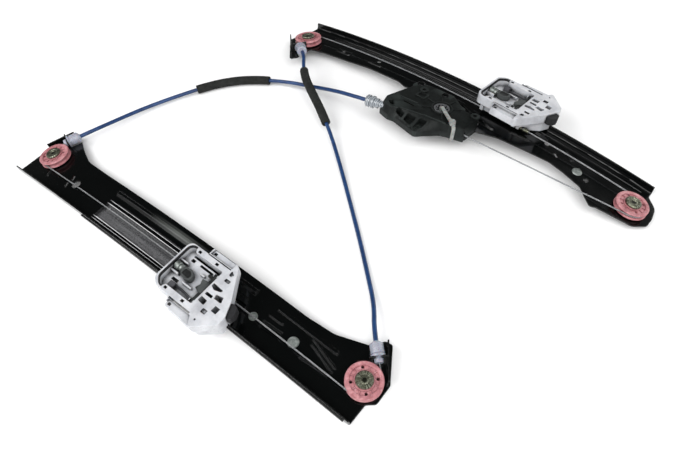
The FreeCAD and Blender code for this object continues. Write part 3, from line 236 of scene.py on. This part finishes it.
def grease_and_sheen_film(s):
    """The shoes' channel: a greasy film whose grey is partly a painted sheen, smeared along the rail and grainy.
    """
    smear = s.noise(1.0, detail=4.0, rough=0.5, place=s.stretched((6.0, 160.0, 60.0)))
    grains = s.noise(700.0, rough=0.7)
    film = rail_patch(s, CHANNEL_ACROSS, CHANNEL_ALONG, CHANNEL_SOFT)
    film = s.maths("MULTIPLY", film, s.spread(smear, to=(0.35, 1.0), out_of=(0.3, 0.65)))
    return s.maths("MULTIPLY", film, s.spread(grains, to=(0.55, 1.15), out_of=(0.38, 0.62)))


def painted_highlight_lines(s, cloud):
    """Painted highlight lines along the channel's edges, broken up by the cloud."""
    lines = 0.0
    for middle, half in HIGHLIGHT_LINES:
        lines = s.maths("ADD", s.strip(s.along(*ACROSS), middle - half, middle + half, HIGHLIGHT_SOFT), lines)
    stretch = s.strip(s.along(*ALONG), *CHANNEL_ALONG, HIGHLIGHT_ENDS_SOFT)
    return s.maths("MULTIPLY", s.maths("MULTIPLY", stretch, lines), s.spread(cloud, to=(0.45, 0.95)))


def rail_paint():
    """Black dip paint: glossy, with dusted specks, a greasy film where the shoes' channel runs whose grey is
    partly a painted sheen, a painted sheen on the crown rib and painted highlight lines along the channel's edges.
    """
    black = (0.0012, 0.0016, 0.0016)
    dusted = (0.012, 0.013, 0.013)
    sheen_tone = (0.16, 0.17, 0.16)
    grease_and_sheen = (0.13, 0.13, 0.135)
    glint = (0.95, 0.96, 0.97)
    sheen_share = 0.6
    grease_roughness = 0.26
    s = Shader("rail_paint").set(Coat_Weight=0.2, Coat_Roughness=0.05, Specular_IOR_Level=0.3)
    film = grease_and_sheen_film(s)
    specks = s.noise(900.0, detail=4.0, rough=0.7)
    cloud = s.noise(14.0, rough=0.6)
    paint = s.mix(s.spread(specks, to=(0.0, 0.3), out_of=(0.62, 0.85)), black, dusted)
    # Painted sheen: a pale grey stretch on the crown rib stands in for its highlight
    sheen_patch = rail_patch(s, SHEEN_ACROSS, SHEEN_ALONG, SHEEN_SOFT)
    paint = s.mix(s.maths("MULTIPLY", sheen_patch, sheen_share), paint, sheen_tone)
    # Greasy film whose grey colour is partly a painted sheen on the channel floor
    paint = s.mix(film, paint, grease_and_sheen)
    # Painted highlight: near-white lines stand in for the bright reflections on the channel's bend edges
    s.colour(s.mix(painted_highlight_lines(s, cloud), paint, glint))
    base = s.spread(cloud, to=(0.10, 0.22), out_of=(0.3, 0.75))
    s.roughness(s.maths("ADD", base, s.maths("MULTIPLY", film, grease_roughness)))
    return s.bump(s.noise(420.0, detail=2.0, rough=0.5), strength=0.06, depth=0.4, rounding=1.2)


def zinc():
    """Olive passivated zinc with the radial marks of the riveting tool and a dark centre."""
    olive = ((0.38, (0.07, 0.07, 0.05)), (0.5, (0.15, 0.155, 0.11)), (0.64, (0.34, 0.35, 0.28)))
    centre_tone = (0.015, 0.016, 0.012)
    marks_a_turn = 34.0
    marks_share = 0.6
    grain_share = 0.4
    s = Shader("zinc").set(Metallic=1.0)
    centred = s.vectors("SUBTRACT", s.place.outputs["Generated"], (0.5, 0.5, 0.5))["Vector"]
    turn = s.node("ShaderNodeTexGradient", [("Vector", centred)], gradient_type="RADIAL")
    round_cap = s.maths("MULTIPLY", turn.outputs["Fac"], marks_a_turn)
    marks = s.node("ShaderNodeTexNoise", [("W", round_cap)], noise_dimensions="1D", Scale=1.0, Detail=2.0)
    grain = s.noise(500.0, detail=4.0, rough=0.6, distortion=0.6)
    tone = s.maths("ADD", s.maths("MULTIPLY", marks.outputs["Fac"], marks_share),
                   s.maths("MULTIPLY", grain, grain_share))
    flat = s.vectors("MULTIPLY", centred, (1.0, 1.0, 0.0))["Vector"]
    from_centre = s.vectors("LENGTH", flat)["Value"]
    rim = s.spread(from_centre, to=(0.0, 1.0), out_of=(0.1, 0.17))
    s.colour(s.mix(rim, centre_tone, s.ramp(tone, olive)))
    s.rough_between(0.3, 0.55, scale=800.0)
    return s.bump(tone, strength=0.3, depth=0.3)


def pulley_plastic():
    """Salmon pink acetal, mottled where the cable and greasy smears have marked it, with painted shade darkening
    its recesses.
    """
    pinks = ((0.3, (0.23, 0.075, 0.085)), (0.5, (0.42, 0.165, 0.18)), (0.7, (0.56, 0.28, 0.29)))
    chalky = (0.60, 0.36, 0.38)
    recess_shade_tone = (0.09, 0.018, 0.022)
    s = Shader("pulley_plastic").set(Subsurface_Weight=0.06, Subsurface_Scale=0.002)
    mottled = s.ramp(s.noise(120.0, detail=5.0, rough=0.65, distortion=0.6), pinks)
    scuffs = s.spread(s.noise(420.0, rough=0.6), to=(0.0, 0.55), out_of=(0.58, 0.72))
    marked = s.mix(scuffs, mottled, chalky)
    # Painted shade: ambient occlusion darkens the colour in recesses
    s.colour(s.mix(s.hollows(3.0, 0.3, 0.8), recess_shade_tone, marked))
    s.rough_between(0.36, 0.6, scale=300.0)
    return s.bump(s.noise(1800.0), strength=0.15, depth=0.2)


def carrier_nylon():
    """Pale milky nylon, cloudy, with painted shade darkening its pockets."""
    pales = ((0.25, (0.37, 0.375, 0.40)), (0.5, (0.51, 0.52, 0.545)), (0.8, (0.66, 0.665, 0.69)))
    pocket_shade = (0.008, 0.009, 0.011)
    s = Shader("carrier_nylon").set(Subsurface_Weight=0.25, Subsurface_Scale=0.004,
                                    Subsurface_Radius=(0.7, 0.85, 1.0), Coat_Weight=0.15, Coat_Roughness=0.25)
    cloudy = s.ramp(s.noise(60.0, detail=4.0, distortion=0.4), pales)
    # Painted shade: ambient occlusion darkens the pockets almost to black
    s.colour(s.mix(s.hollows(7.0, 0.36, 0.86), pocket_shade, cloudy))
    s.rough_between(0.24, 0.42, scale=500.0)
    return s.bump(s.noise(700.0), strength=0.1, depth=0.3, rounding=0.7)


def ferrule_plastic():
    """Lilac-grey plastic that lets a little light through."""
    lilacs = ((0.3, (0.29, 0.30, 0.36)), (0.7, (0.44, 0.455, 0.53)))
    s = Shader("ferrule_plastic").set(Transmission_Weight=0.15, Subsurface_Weight=0.2, Subsurface_Scale=0.003)
    s.colour(s.ramp(s.noise(160.0), lilacs))
    s.rough_between(0.2, 0.4, scale=600.0)
    return s.bump(s.noise(900.0), strength=0.12, depth=0.2)


def clear_plastic():
    """Clear nylon with the coils of a spring showing through it."""
    greys = ((0.2, (0.14, 0.16, 0.18)), (0.6, (0.28, 0.31, 0.34)), (0.95, (0.44, 0.47, 0.50)))
    s = Shader("clear_plastic").set(Transmission_Weight=0.2, Coat_Weight=0.8, Coat_Roughness=0.05)
    coils = s.node("ShaderNodeTexWave", [("Vector", s.place.outputs["Object"])], bands_direction="X",
                   Scale=140.0, Distortion=0.3, Detail=1.0)
    s.colour(s.ramp(coils.outputs["Fac"], greys))
    s.rough_between(0.12, 0.3, scale=500.0)
    return s.bump(coils.outputs["Fac"], strength=0.08, depth=0.3)


def cable_steel():
    """Drawn steel wire, dull with grease."""
    greys = ((0.35, (0.16, 0.165, 0.17)), (0.65, (0.46, 0.47, 0.48)))
    s = Shader("cable_steel").set(Metallic=0.9)
    s.colour(s.ramp(s.noise(1200.0, detail=2.0), greys))
    s.rough_between(0.28, 0.5, scale=900.0)
    return s.bump(s.noise(2600.0, detail=2.0), strength=0.5, depth=0.2)


def screw_steel():
    """Plated screws and caps, spotted and matt."""
    greys = ((0.3, (0.14, 0.16, 0.15)), (0.7, (0.42, 0.45, 0.43)))
    s = Shader("screw_steel").set(Metallic=0.85)
    s.colour(s.ramp(s.noise(300.0, detail=4.0), greys))
    s.rough_between(0.38, 0.6, scale=900.0)
    return s.bump(s.noise(1600.0), strength=0.2, depth=0.2)


def dark_moulding(name, dark, light, rough, grain):
    """Dark plastic or rubber: mottled, paler on worn edges, and darker in its recesses by painted shade."""
    worn_gain = 2.4
    recess_shade_gain = 0.3
    s = Shader(name).set(Specular_IOR_Level=0.16)
    mottled = s.mix(s.spread(s.noise(120.0, detail=5.0, rough=0.65), to=(0.0, 1.0)), dark, light)
    worn = s.mix(s.edges(), mottled, tuple(c * worn_gain for c in light))
    # Painted shade: ambient occlusion darkens the colour in recesses
    s.colour(s.mix(s.hollows(5.0, 0.3, 0.85), tuple(c * recess_shade_gain for c in dark), worn))
    s.rough_between(*rough, scale=350.0, detail=4.0)
    return s.bump(s.noise(grain, detail=4.0, rough=0.6), strength=0.35, depth=0.3, rounding=0.6)


def rubber():
    return dark_moulding("rubber", dark=(0.0025, 0.0025, 0.0028), light=(0.008, 0.008, 0.0086),
                         rough=(0.5, 0.75), grain=900.0)


def dark_plastic():
    return dark_moulding("dark_plastic", dark=(0.009, 0.0095, 0.0095), light=(0.026, 0.028, 0.028),
                         rough=(0.3, 0.55), grain=1100.0)


def spring_plastic():
    return dark_moulding("spring_plastic", dark=(0.014, 0.014, 0.016), light=(0.03, 0.03, 0.033),
                         rough=(0.3, 0.5), grain=900.0)


def housing_plastic():
    return dark_moulding("housing_plastic", dark=(0.0025, 0.0033, 0.003), light=(0.009, 0.011, 0.0105),
                         rough=(0.4, 0.62), grain=620.0)


def drum_plastic():
    return dark_moulding("drum_plastic", dark=(0.02, 0.021, 0.022), light=(0.04, 0.041, 0.043),
                         rough=(0.4, 0.6), grain=900.0)


def tie_nylon():
    """Undyed nylon of the zip tie."""
    greys = ((0.3, (0.17, 0.175, 0.17)), (0.7, (0.33, 0.34, 0.325)))
    s = Shader("tie_nylon").set(Subsurface_Weight=0.15, Subsurface_Scale=0.002)
    s.colour(s.ramp(s.noise(200.0), greys))
    s.rough_between(0.3, 0.5, scale=500.0)
    return s.bump(s.noise(1200.0), strength=0.25, depth=0.2)


def sheath_blue():
    """Dark blue cable sheath, a little scuffed."""
    blues = ((0.3, (0.006, 0.024, 0.085)), (0.6, (0.011, 0.042, 0.135)), (0.8, (0.025, 0.07, 0.19)))
    s = Shader("sheath_blue").set(Coat_Weight=0.15, Coat_Roughness=0.2, Specular_IOR_Level=0.3)
    s.colour(s.ramp(s.noise(90.0, detail=4.0, rough=0.6), blues))
    s.rough_between(0.28, 0.45, scale=400.0)
    return s.bump(s.noise(1500.0), strength=0.2, depth=0.2)


def foam():
    """Black foam with open cells."""
    blacks = ((0.3, (0.006, 0.0065, 0.006)), (0.7, (0.022, 0.023, 0.0215)))
    s = Shader("foam").set(Specular_IOR_Level=0.25)
    cells = s.node("ShaderNodeTexVoronoi", [("Vector", s.place.outputs["Object"])], Scale=1300.0)
    s.colour(s.ramp(s.noise(150.0, detail=5.0, rough=0.7), blacks))
    s.rough_between(0.82, 0.97, scale=500.0)
    return s.bump(cells.outputs["Distance"], strength=0.6, depth=0.5)


MAKERS = (rail_paint, zinc, pulley_plastic, carrier_nylon, ferrule_plastic, clear_plastic, cable_steel,
          screw_steel, rubber, dark_plastic, spring_plastic, housing_plastic, drum_plastic, tie_nylon,
          sheath_blue, foam)
MATERIALS = {maker.__name__: maker().material for maker in MAKERS}


def dress_nodes():
    """Every CAD node takes the material of its slot in the record."""
    for part in frame["record"]["subparts"]:
        mesh = frame["nodes"][part["node"]].data
        mesh.materials.clear()
        mesh.materials.append(MATERIALS[part["material_slot"]])


# Lines, rings and tubes
def linked(name, data):
    """A new object in the scene."""
    made = bpy.data.objects.new(name, data)
    bpy.context.scene.collection.objects.link(made)
    return made


def mesh_piece(name, vertices, faces, material):
    """A smooth-shaded mesh object."""
    mesh = bpy.data.meshes.new(name)
    mesh.from_pydata([tuple(p) for p in vertices], [], faces)
    mesh.shade_smooth()
    mesh.materials.append(MATERIALS[material])
    return linked(name, mesh)


def evenly(points, step):
    """Points a step apart along a line of points."""
    found = [points[0]]
    left = step
    for a, b in zip(points, points[1:]):
        run = (b - a).length
        at = left
        while at <= run:
            found.append(a.lerp(b, at / run))
            at += step
        left = at - run
    return found


def rings(line, sides, radius_at):
    """Rings of points round a line, carried along it without twisting."""
    ahead = (line[1] - line[0]).normalized()
    side = ahead.cross(Vector((0, 0, 1))).normalized()
    made = []
    for i, centre in enumerate(line):
        ahead = (line[min(i + 1, len(line) - 1)] - line[max(i - 1, 0)]).normalized()
        side = (side - ahead * side.dot(ahead)).normalized()
        up = side.cross(ahead)
        for k in range(sides):
            angle = math.tau * k / sides
            out = side * math.cos(angle) + up * math.sin(angle)
            made.append(centre + out * radius_at(i, angle, centre))
    return made


def round_ring(start, sides):
    """Pairs of neighbours round a ring of numbered points."""
    return [(start + k, start + (k + 1) % sides) for k in range(sides)]


# Sheaths
def sheath(name, route):
    """The sheath as one smooth spline through its route, and the points of its line."""
    curve = bpy.data.curves.new(name, "CURVE")
    curve.dimensions = "3D"
    spline = curve.splines.new("NURBS")
    spline.points.add(len(route) - 1)
    for point, place in zip(spline.points, route):
        point.co = (*(Vector(place) * MM), 1.0)
    spline.order_u = 3
    spline.use_endpoint_u = True
    spline.resolution_u = SHEATH_STEPS
    made = linked(name, curve)
    line = bpy.data.meshes.new_from_object(made)
    points = [vertex.co.copy() for vertex in line.vertices]
    bpy.data.meshes.remove(line)
    curve.bevel_depth = SHEATH_DIAMETER / 2 * MM
    curve.bevel_resolution = SHEATH_BEVEL_STEPS
    curve.use_fill_caps = True
    curve.materials.append(MATERIALS["sheath_blue"])
    return made, points


def nearest(points, place):
    """The number of the point that lies nearest to a place, seen from above."""
    target = Vector(place) * MM
    return min(range(len(points)), key=lambda i: (points[i].xy - target).length)


def foam_sleeve(name, points, ends):
    """A cut length of foam tube, a little uneven, with square ends round the sheath."""
    first, last = sorted(nearest(points, end) for end in ends)
    line = evenly(points[first:last + 1], SLEEVE_STEP * MM)
    count = len(line)

    def outer(i, angle, centre):
        round_tube = Vector((math.cos(angle), math.sin(angle), 0)) * DENTS_ROUND
        dent = noise.noise(centre * DENTS_PER_METRE + round_tube)
        pinch = CUT_PINCH if i in (0, count - 1) else 0.0
        return (SLEEVE_DIAMETER / 2 - SLEEVE_SHY + DENT_DEPTH * dent - pinch) * MM

    def inner(i, angle, centre):
        return SLEEVE_BORE / 2 * MM

    vertices = rings(line, SLEEVE_SIDES, outer) + rings(line, SLEEVE_SIDES, inner)
    inside = count * SLEEVE_SIDES
    faces = []

    def band(start, shift, turned):
        """Faces from one ring to the ring so many points further on."""
        for a, b in round_ring(start, SLEEVE_SIDES):
            face = (a, b, b + shift, a + shift)
            faces.append(face[::-1] if turned else face)

    for wall, turned in ((0, True), (inside, False)):
        for i in range(count - 1):
            band(wall + i * SLEEVE_SIDES, SLEEVE_SIDES, turned)
    band(0, inside, False)
    band(inside - SLEEVE_SIDES, inside, True)
    return mesh_piece(name, vertices, faces, "foam")


def build_sheaths():
    """Both sheaths with their sleeves, in place of their solids."""
    for name, route, length, ends in (("up", UP_ROUTE, UP_LENGTH, UP_SLEEVE_ENDS),
                                      ("link", LINK_ROUTE, LINK_LENGTH, LINK_SLEEVE_ENDS)):
        cord, points = sheath(name + "_sheath_line", route)
        sleeve = foam_sleeve(name + "_foam", points, ends)
        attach(cord, "rails")
        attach(sleeve, "rails")
        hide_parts(name + "_cable_sheath")
        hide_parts(name + "_sheath_sleeve")


# Inner cables, along the rails and round their pulleys. The rails' arch, half the way between a rail's
# pulleys, and where its two cable runs meet, from the middle of that way
ARCH_RADIUS = 1860.0
HALF_SPAN = 251.0
JOIN_AT = {"slave": 89.0, "drive": 96.0}
# The cable's middle round a pulley and round the drum, and how far short of the drum's side it begins
WIND_RADIUS = 16.9
DRUM_WIND = 19.0
DRUM_CLEAR = 12.5
# The rope: strands that go once round a core in each lay
STRANDS = 6
STRAND_RADIUS = 0.31
STRAND_SIDES = 5
STRAND_CIRCLE = 0.59
STRAND_LAY = 9.0
CORE_RADIUS = 0.36
CORE_SIDES = 6
ROPE_STEP = 1.0
# A cross of points round each place on the rope gives its two directions across
QUARTERS = 4
# How often the direction of the straight between two wheels is refined
TANGENT_ROUNDS = 6


def joint_line(name):
    """A joint's centre and its axis."""
    found = next(j for j in frame["joints"] if j["name"] == name)
    return Vector(found["pos_m"]), Vector(found["axis"]).normalized()


def in_plane(way, axis):
    """A direction turned into the plane across an axis."""
    return (way - axis * way.dot(axis)).normalized()


def rail_stretch(rail, side):
    """Points from the carrier along the rail to its pulley, and how the cable meets the pulley."""
    end = -1 if side == "left" else 1
    pivot, across = joint_line(rail + "_travel")
    centre, axis = joint_line(rail + "_" + side + "_pulley_spin")
    guide = in_plane(across if rail == "drive" else -across, axis)
    touch = centre + guide * WIND_RADIUS * MM
    reach = HALF_SPAN - end * JOIN_AT[rail]
    count = round(reach / ROPE_STEP)
    points = []
    for i in range(count, 0, -1):
        angle = -end * reach / ARCH_RADIUS * i / count
        points.append(pivot + Matrix.Rotation(angle, 3, across) @ (touch - pivot))
    ahead = end * across.cross(axis)
    turn = axis if guide.cross(ahead).dot(axis) > 0 else -axis
    return points, centre, guide, turn


def round_wheel(centre, start, turn, leave):
    """Points round a pulley from one radial direction to another."""
    sweep = math.atan2(start.cross(leave).dot(turn), start.dot(leave)) % math.tau
    count = max(2, round(sweep * WIND_RADIUS / ROPE_STEP))
    return [centre + Matrix.Rotation(sweep * i / count, 3, turn) @ start * WIND_RADIUS * MM
            for i in range(count + 1)]


def straight(start, end):
    """Points from a start, which is left out, to an end."""
    count = max(2, round((end - start).length / (ROPE_STEP * MM)))
    return [start.lerp(end, i / count) for i in range(1, count + 1)]


def sheathed_run(rail, side, seat, lead):
    """The cable from a carrier round the pulley to its sheath's seat."""
    points, centre, guide, turn = rail_stretch(rail, side)
    way = in_plane(lead - seat, turn)
    leave = way.cross(turn)
    points += round_wheel(centre, guide, turn, leave)
    return points + straight(points[-1], seat)


def bare_run():
    """The cable from the drive carrier round the right pulley and back to the drum."""
    points, centre, guide, turn = rail_stretch("drive", "right")
    drum, drum_axis = joint_line("drum_spin")
    way = in_plane(drum - centre, turn)
    for _ in range(TANGENT_ROUNDS):
        leave = in_plane(way, turn).cross(turn)
        meet = in_plane(way, drum_axis).cross(-drum_axis)
        start = centre + leave * WIND_RADIUS * MM
        end = drum + meet * DRUM_WIND * MM
        way = (end - start).normalized()
    points += round_wheel(centre, guide, turn, leave)
    return points + straight(points[-1], end - way * DRUM_CLEAR * MM)


def drum_run(seat, lead):
    """The short straight from the drum to the sheath's seat in the adjuster."""
    drum, _ = joint_line("drum_spin")
    way = (lead - seat).normalized()
    beside_drum = seat - way * (seat - drum).dot(way)
    start = beside_drum + way * DRUM_CLEAR * MM
    return [start] + straight(start, seat)


def add_tube(vertices, faces, line, radius, sides):
    """Add a closed tube along a line to a mesh in the making."""
    base = len(vertices)
    end = base + (len(line) - 1) * sides
    vertices += rings(line, sides, lambda i, angle, centre: radius)
    for start in range(base, end, sides):
        for a, b in round_ring(start, sides):
            faces.append((a, a + sides, b + sides, b))
    faces.append(tuple(base + k for k in range(sides)))
    faces.append(tuple(end + k for k in reversed(range(sides))))


def wire_rope(name, points):
    """Strands twisted round a core along a line of points."""
    vertices = []
    faces = []
    add_tube(vertices, faces, points, CORE_RADIUS * MM, CORE_SIDES)
    crosses = rings(points, QUARTERS, lambda i, angle, centre: STRAND_CIRCLE * MM)
    travelled = [0.0]
    for a, b in zip(points, points[1:]):
        travelled.append(travelled[-1] + (b - a).length)
    for k in range(STRANDS):
        strand = []
        for i, centre in enumerate(points):
            side, up = (crosses[QUARTERS * i + quarter] - centre for quarter in (0, 1))
            angle = math.tau * (k / STRANDS + travelled[i] / (STRAND_LAY * MM))
            strand.append(centre + side * math.cos(angle) + up * math.sin(angle))
        add_tube(vertices, faces, strand, STRAND_RADIUS * MM, STRAND_SIDES)
    return mesh_piece(name, vertices, faces, "cable_steel")


def build_ropes():
    """The bare cable runs as laid-up rope, in place of their solids."""
    up = [Vector(p) * MM for p in UP_ROUTE]
    link = [Vector(p) * MM for p in LINK_ROUTE]
    ropes = {"up_cable_rail_run": sheathed_run("slave", "left", up[0], up[1]),
             "link_cable_slave_run": sheathed_run("slave", "right", link[0], link[1]),
             "link_cable_drive_run": sheathed_run("drive", "left", link[-1], link[-2]),
             "down_cable": bare_run(),
             "up_cable_drum_run": drum_run(up[-1], up[-2])}
    for node, points in ropes.items():
        rope = wire_rope(node + "_wires", points)
        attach(rope, "rails")
        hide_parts(node)


# The camera, where it stands in the assembly's frame and its directions
CAMERA_PLACE = (358.03, -354.81, 553.95)
CAMERA_RIGHT = (0.77847, 0.62541, -0.05334)
CAMERA_DOWN = (0.47383, -0.64126, -0.60355)
CAMERA_LOOK = (-0.41168, 0.44457, -0.79554)
LENS = 31.5
SENSOR_WIDTH = 36.0
# What it sees, the floor, and the lights' places and sizes, all in metres
CLIP_NEAR = 0.01
CLIP_FAR = 50.0
FLOOR_HALF = 6.0
FLOOR_TONE = (0.92, 0.92, 0.92, 1.0)
FLOOR_ROUGHNESS = 0.9
# Each light's place, width, height and power in watts; all point at the origin
LIGHTS = {"key": ((1.3, -0.9, 2.1), 2.4, 2.4, 62.0),
          "fill": ((-1.0, -1.4, 1.9), 2.4, 1.3, 42.0),
          "streak": ((0.5, 2.2, 0.7), 1.8, 0.3, 10.0)}
# The room's brightness, and the dark flag's: its direction, where its edge begins and ends as the cosine
# of the angle from there, and how bright it is
ROOM_BRIGHTNESS = 0.55
FLAG_TOWARDS = (-0.42, 0.45, 0.79)
FLAG_EDGE = (0.45, 0.80)
FLAG_BRIGHTNESS = 0.04


def build_camera():
    """The camera at the photograph's viewing angle."""
    data = bpy.data.cameras.new("camera")
    data.lens = LENS
    data.sensor_width = SENSOR_WIDTH
    data.clip_start = CLIP_NEAR
    data.clip_end = CLIP_FAR
    camera = linked("camera", data)
    right = Vector(CAMERA_RIGHT)
    up = -Vector(CAMERA_DOWN)
    back = -Vector(CAMERA_LOOK)
    turn = Matrix((right, up, back)).transposed().to_quaternion().to_matrix()
    camera.matrix_world = Matrix.Translation(Vector(CAMERA_PLACE) * MM) @ turn.to_4x4()
    bpy.context.scene.camera = camera


def area_light(name, place, width, height, power):
    """A soft rectangular light that points at the origin."""
    data = bpy.data.lights.new(name, "AREA")
    data.shape = "RECTANGLE"
    data.size = width
    data.size_y = height
    data.energy = power
    light = linked(name, data)
    light.location = place
    light.rotation_euler = (-Vector(place)).to_track_quat("-Z", "Y").to_euler()


def studio_world():
    """A bright room with a dark flag where the flat sheet would mirror it."""
    world = bpy.data.worlds.new("studio")
    world.use_nodes = True
    tree = world.node_tree
    background = tree.nodes["Background"]
    place = tree.nodes.new("ShaderNodeTexCoord")
    towards = tree.nodes.new("ShaderNodeVectorMath")
    towards.operation = "DOT_PRODUCT"
    towards.inputs[1].default_value = FLAG_TOWARDS
    tree.links.new(place.outputs["Generated"], towards.inputs[0])
    shade = tree.nodes.new("ShaderNodeMapRange")
    shade.interpolation_type = "SMOOTHSTEP"
    for socket, value in zip(("From Min", "From Max", "To Min", "To Max"),
                             (*FLAG_EDGE, ROOM_BRIGHTNESS, FLAG_BRIGHTNESS)):
        shade.inputs[socket].default_value = value
    tree.links.new(towards.outputs["Value"], shade.inputs["Value"])
    background.inputs["Color"].default_value = (1.0, 1.0, 1.0, 1.0)
    tree.links.new(shade.outputs["Result"], background.inputs["Strength"])
    return world


def build_stage():
    """A plain pale floor, the room and its soft lights."""
    mesh = bpy.data.meshes.new("floor")
    corners = [(x * FLOOR_HALF, y * FLOOR_HALF, 0) for x, y in ((-1, -1), (1, -1), (1, 1), (-1, 1))]
    mesh.from_pydata(corners, [], [(0, 1, 2, 3)])
    floor = linked("floor", mesh)
    s = Shader("floor").set(Roughness=FLOOR_ROUGHNESS, Base_Color=FLOOR_TONE)
    mesh.materials.append(s.material)
    bpy.context.scene.world = studio_world()
    for name, (place, width, height, power) in LIGHTS.items():
        area_light(name, place, width, height, power)
    bpy.context.scene.view_settings.view_transform = "Standard"


dress_nodes()
build_sheaths()
build_ropes()
build_camera()
build_stage()
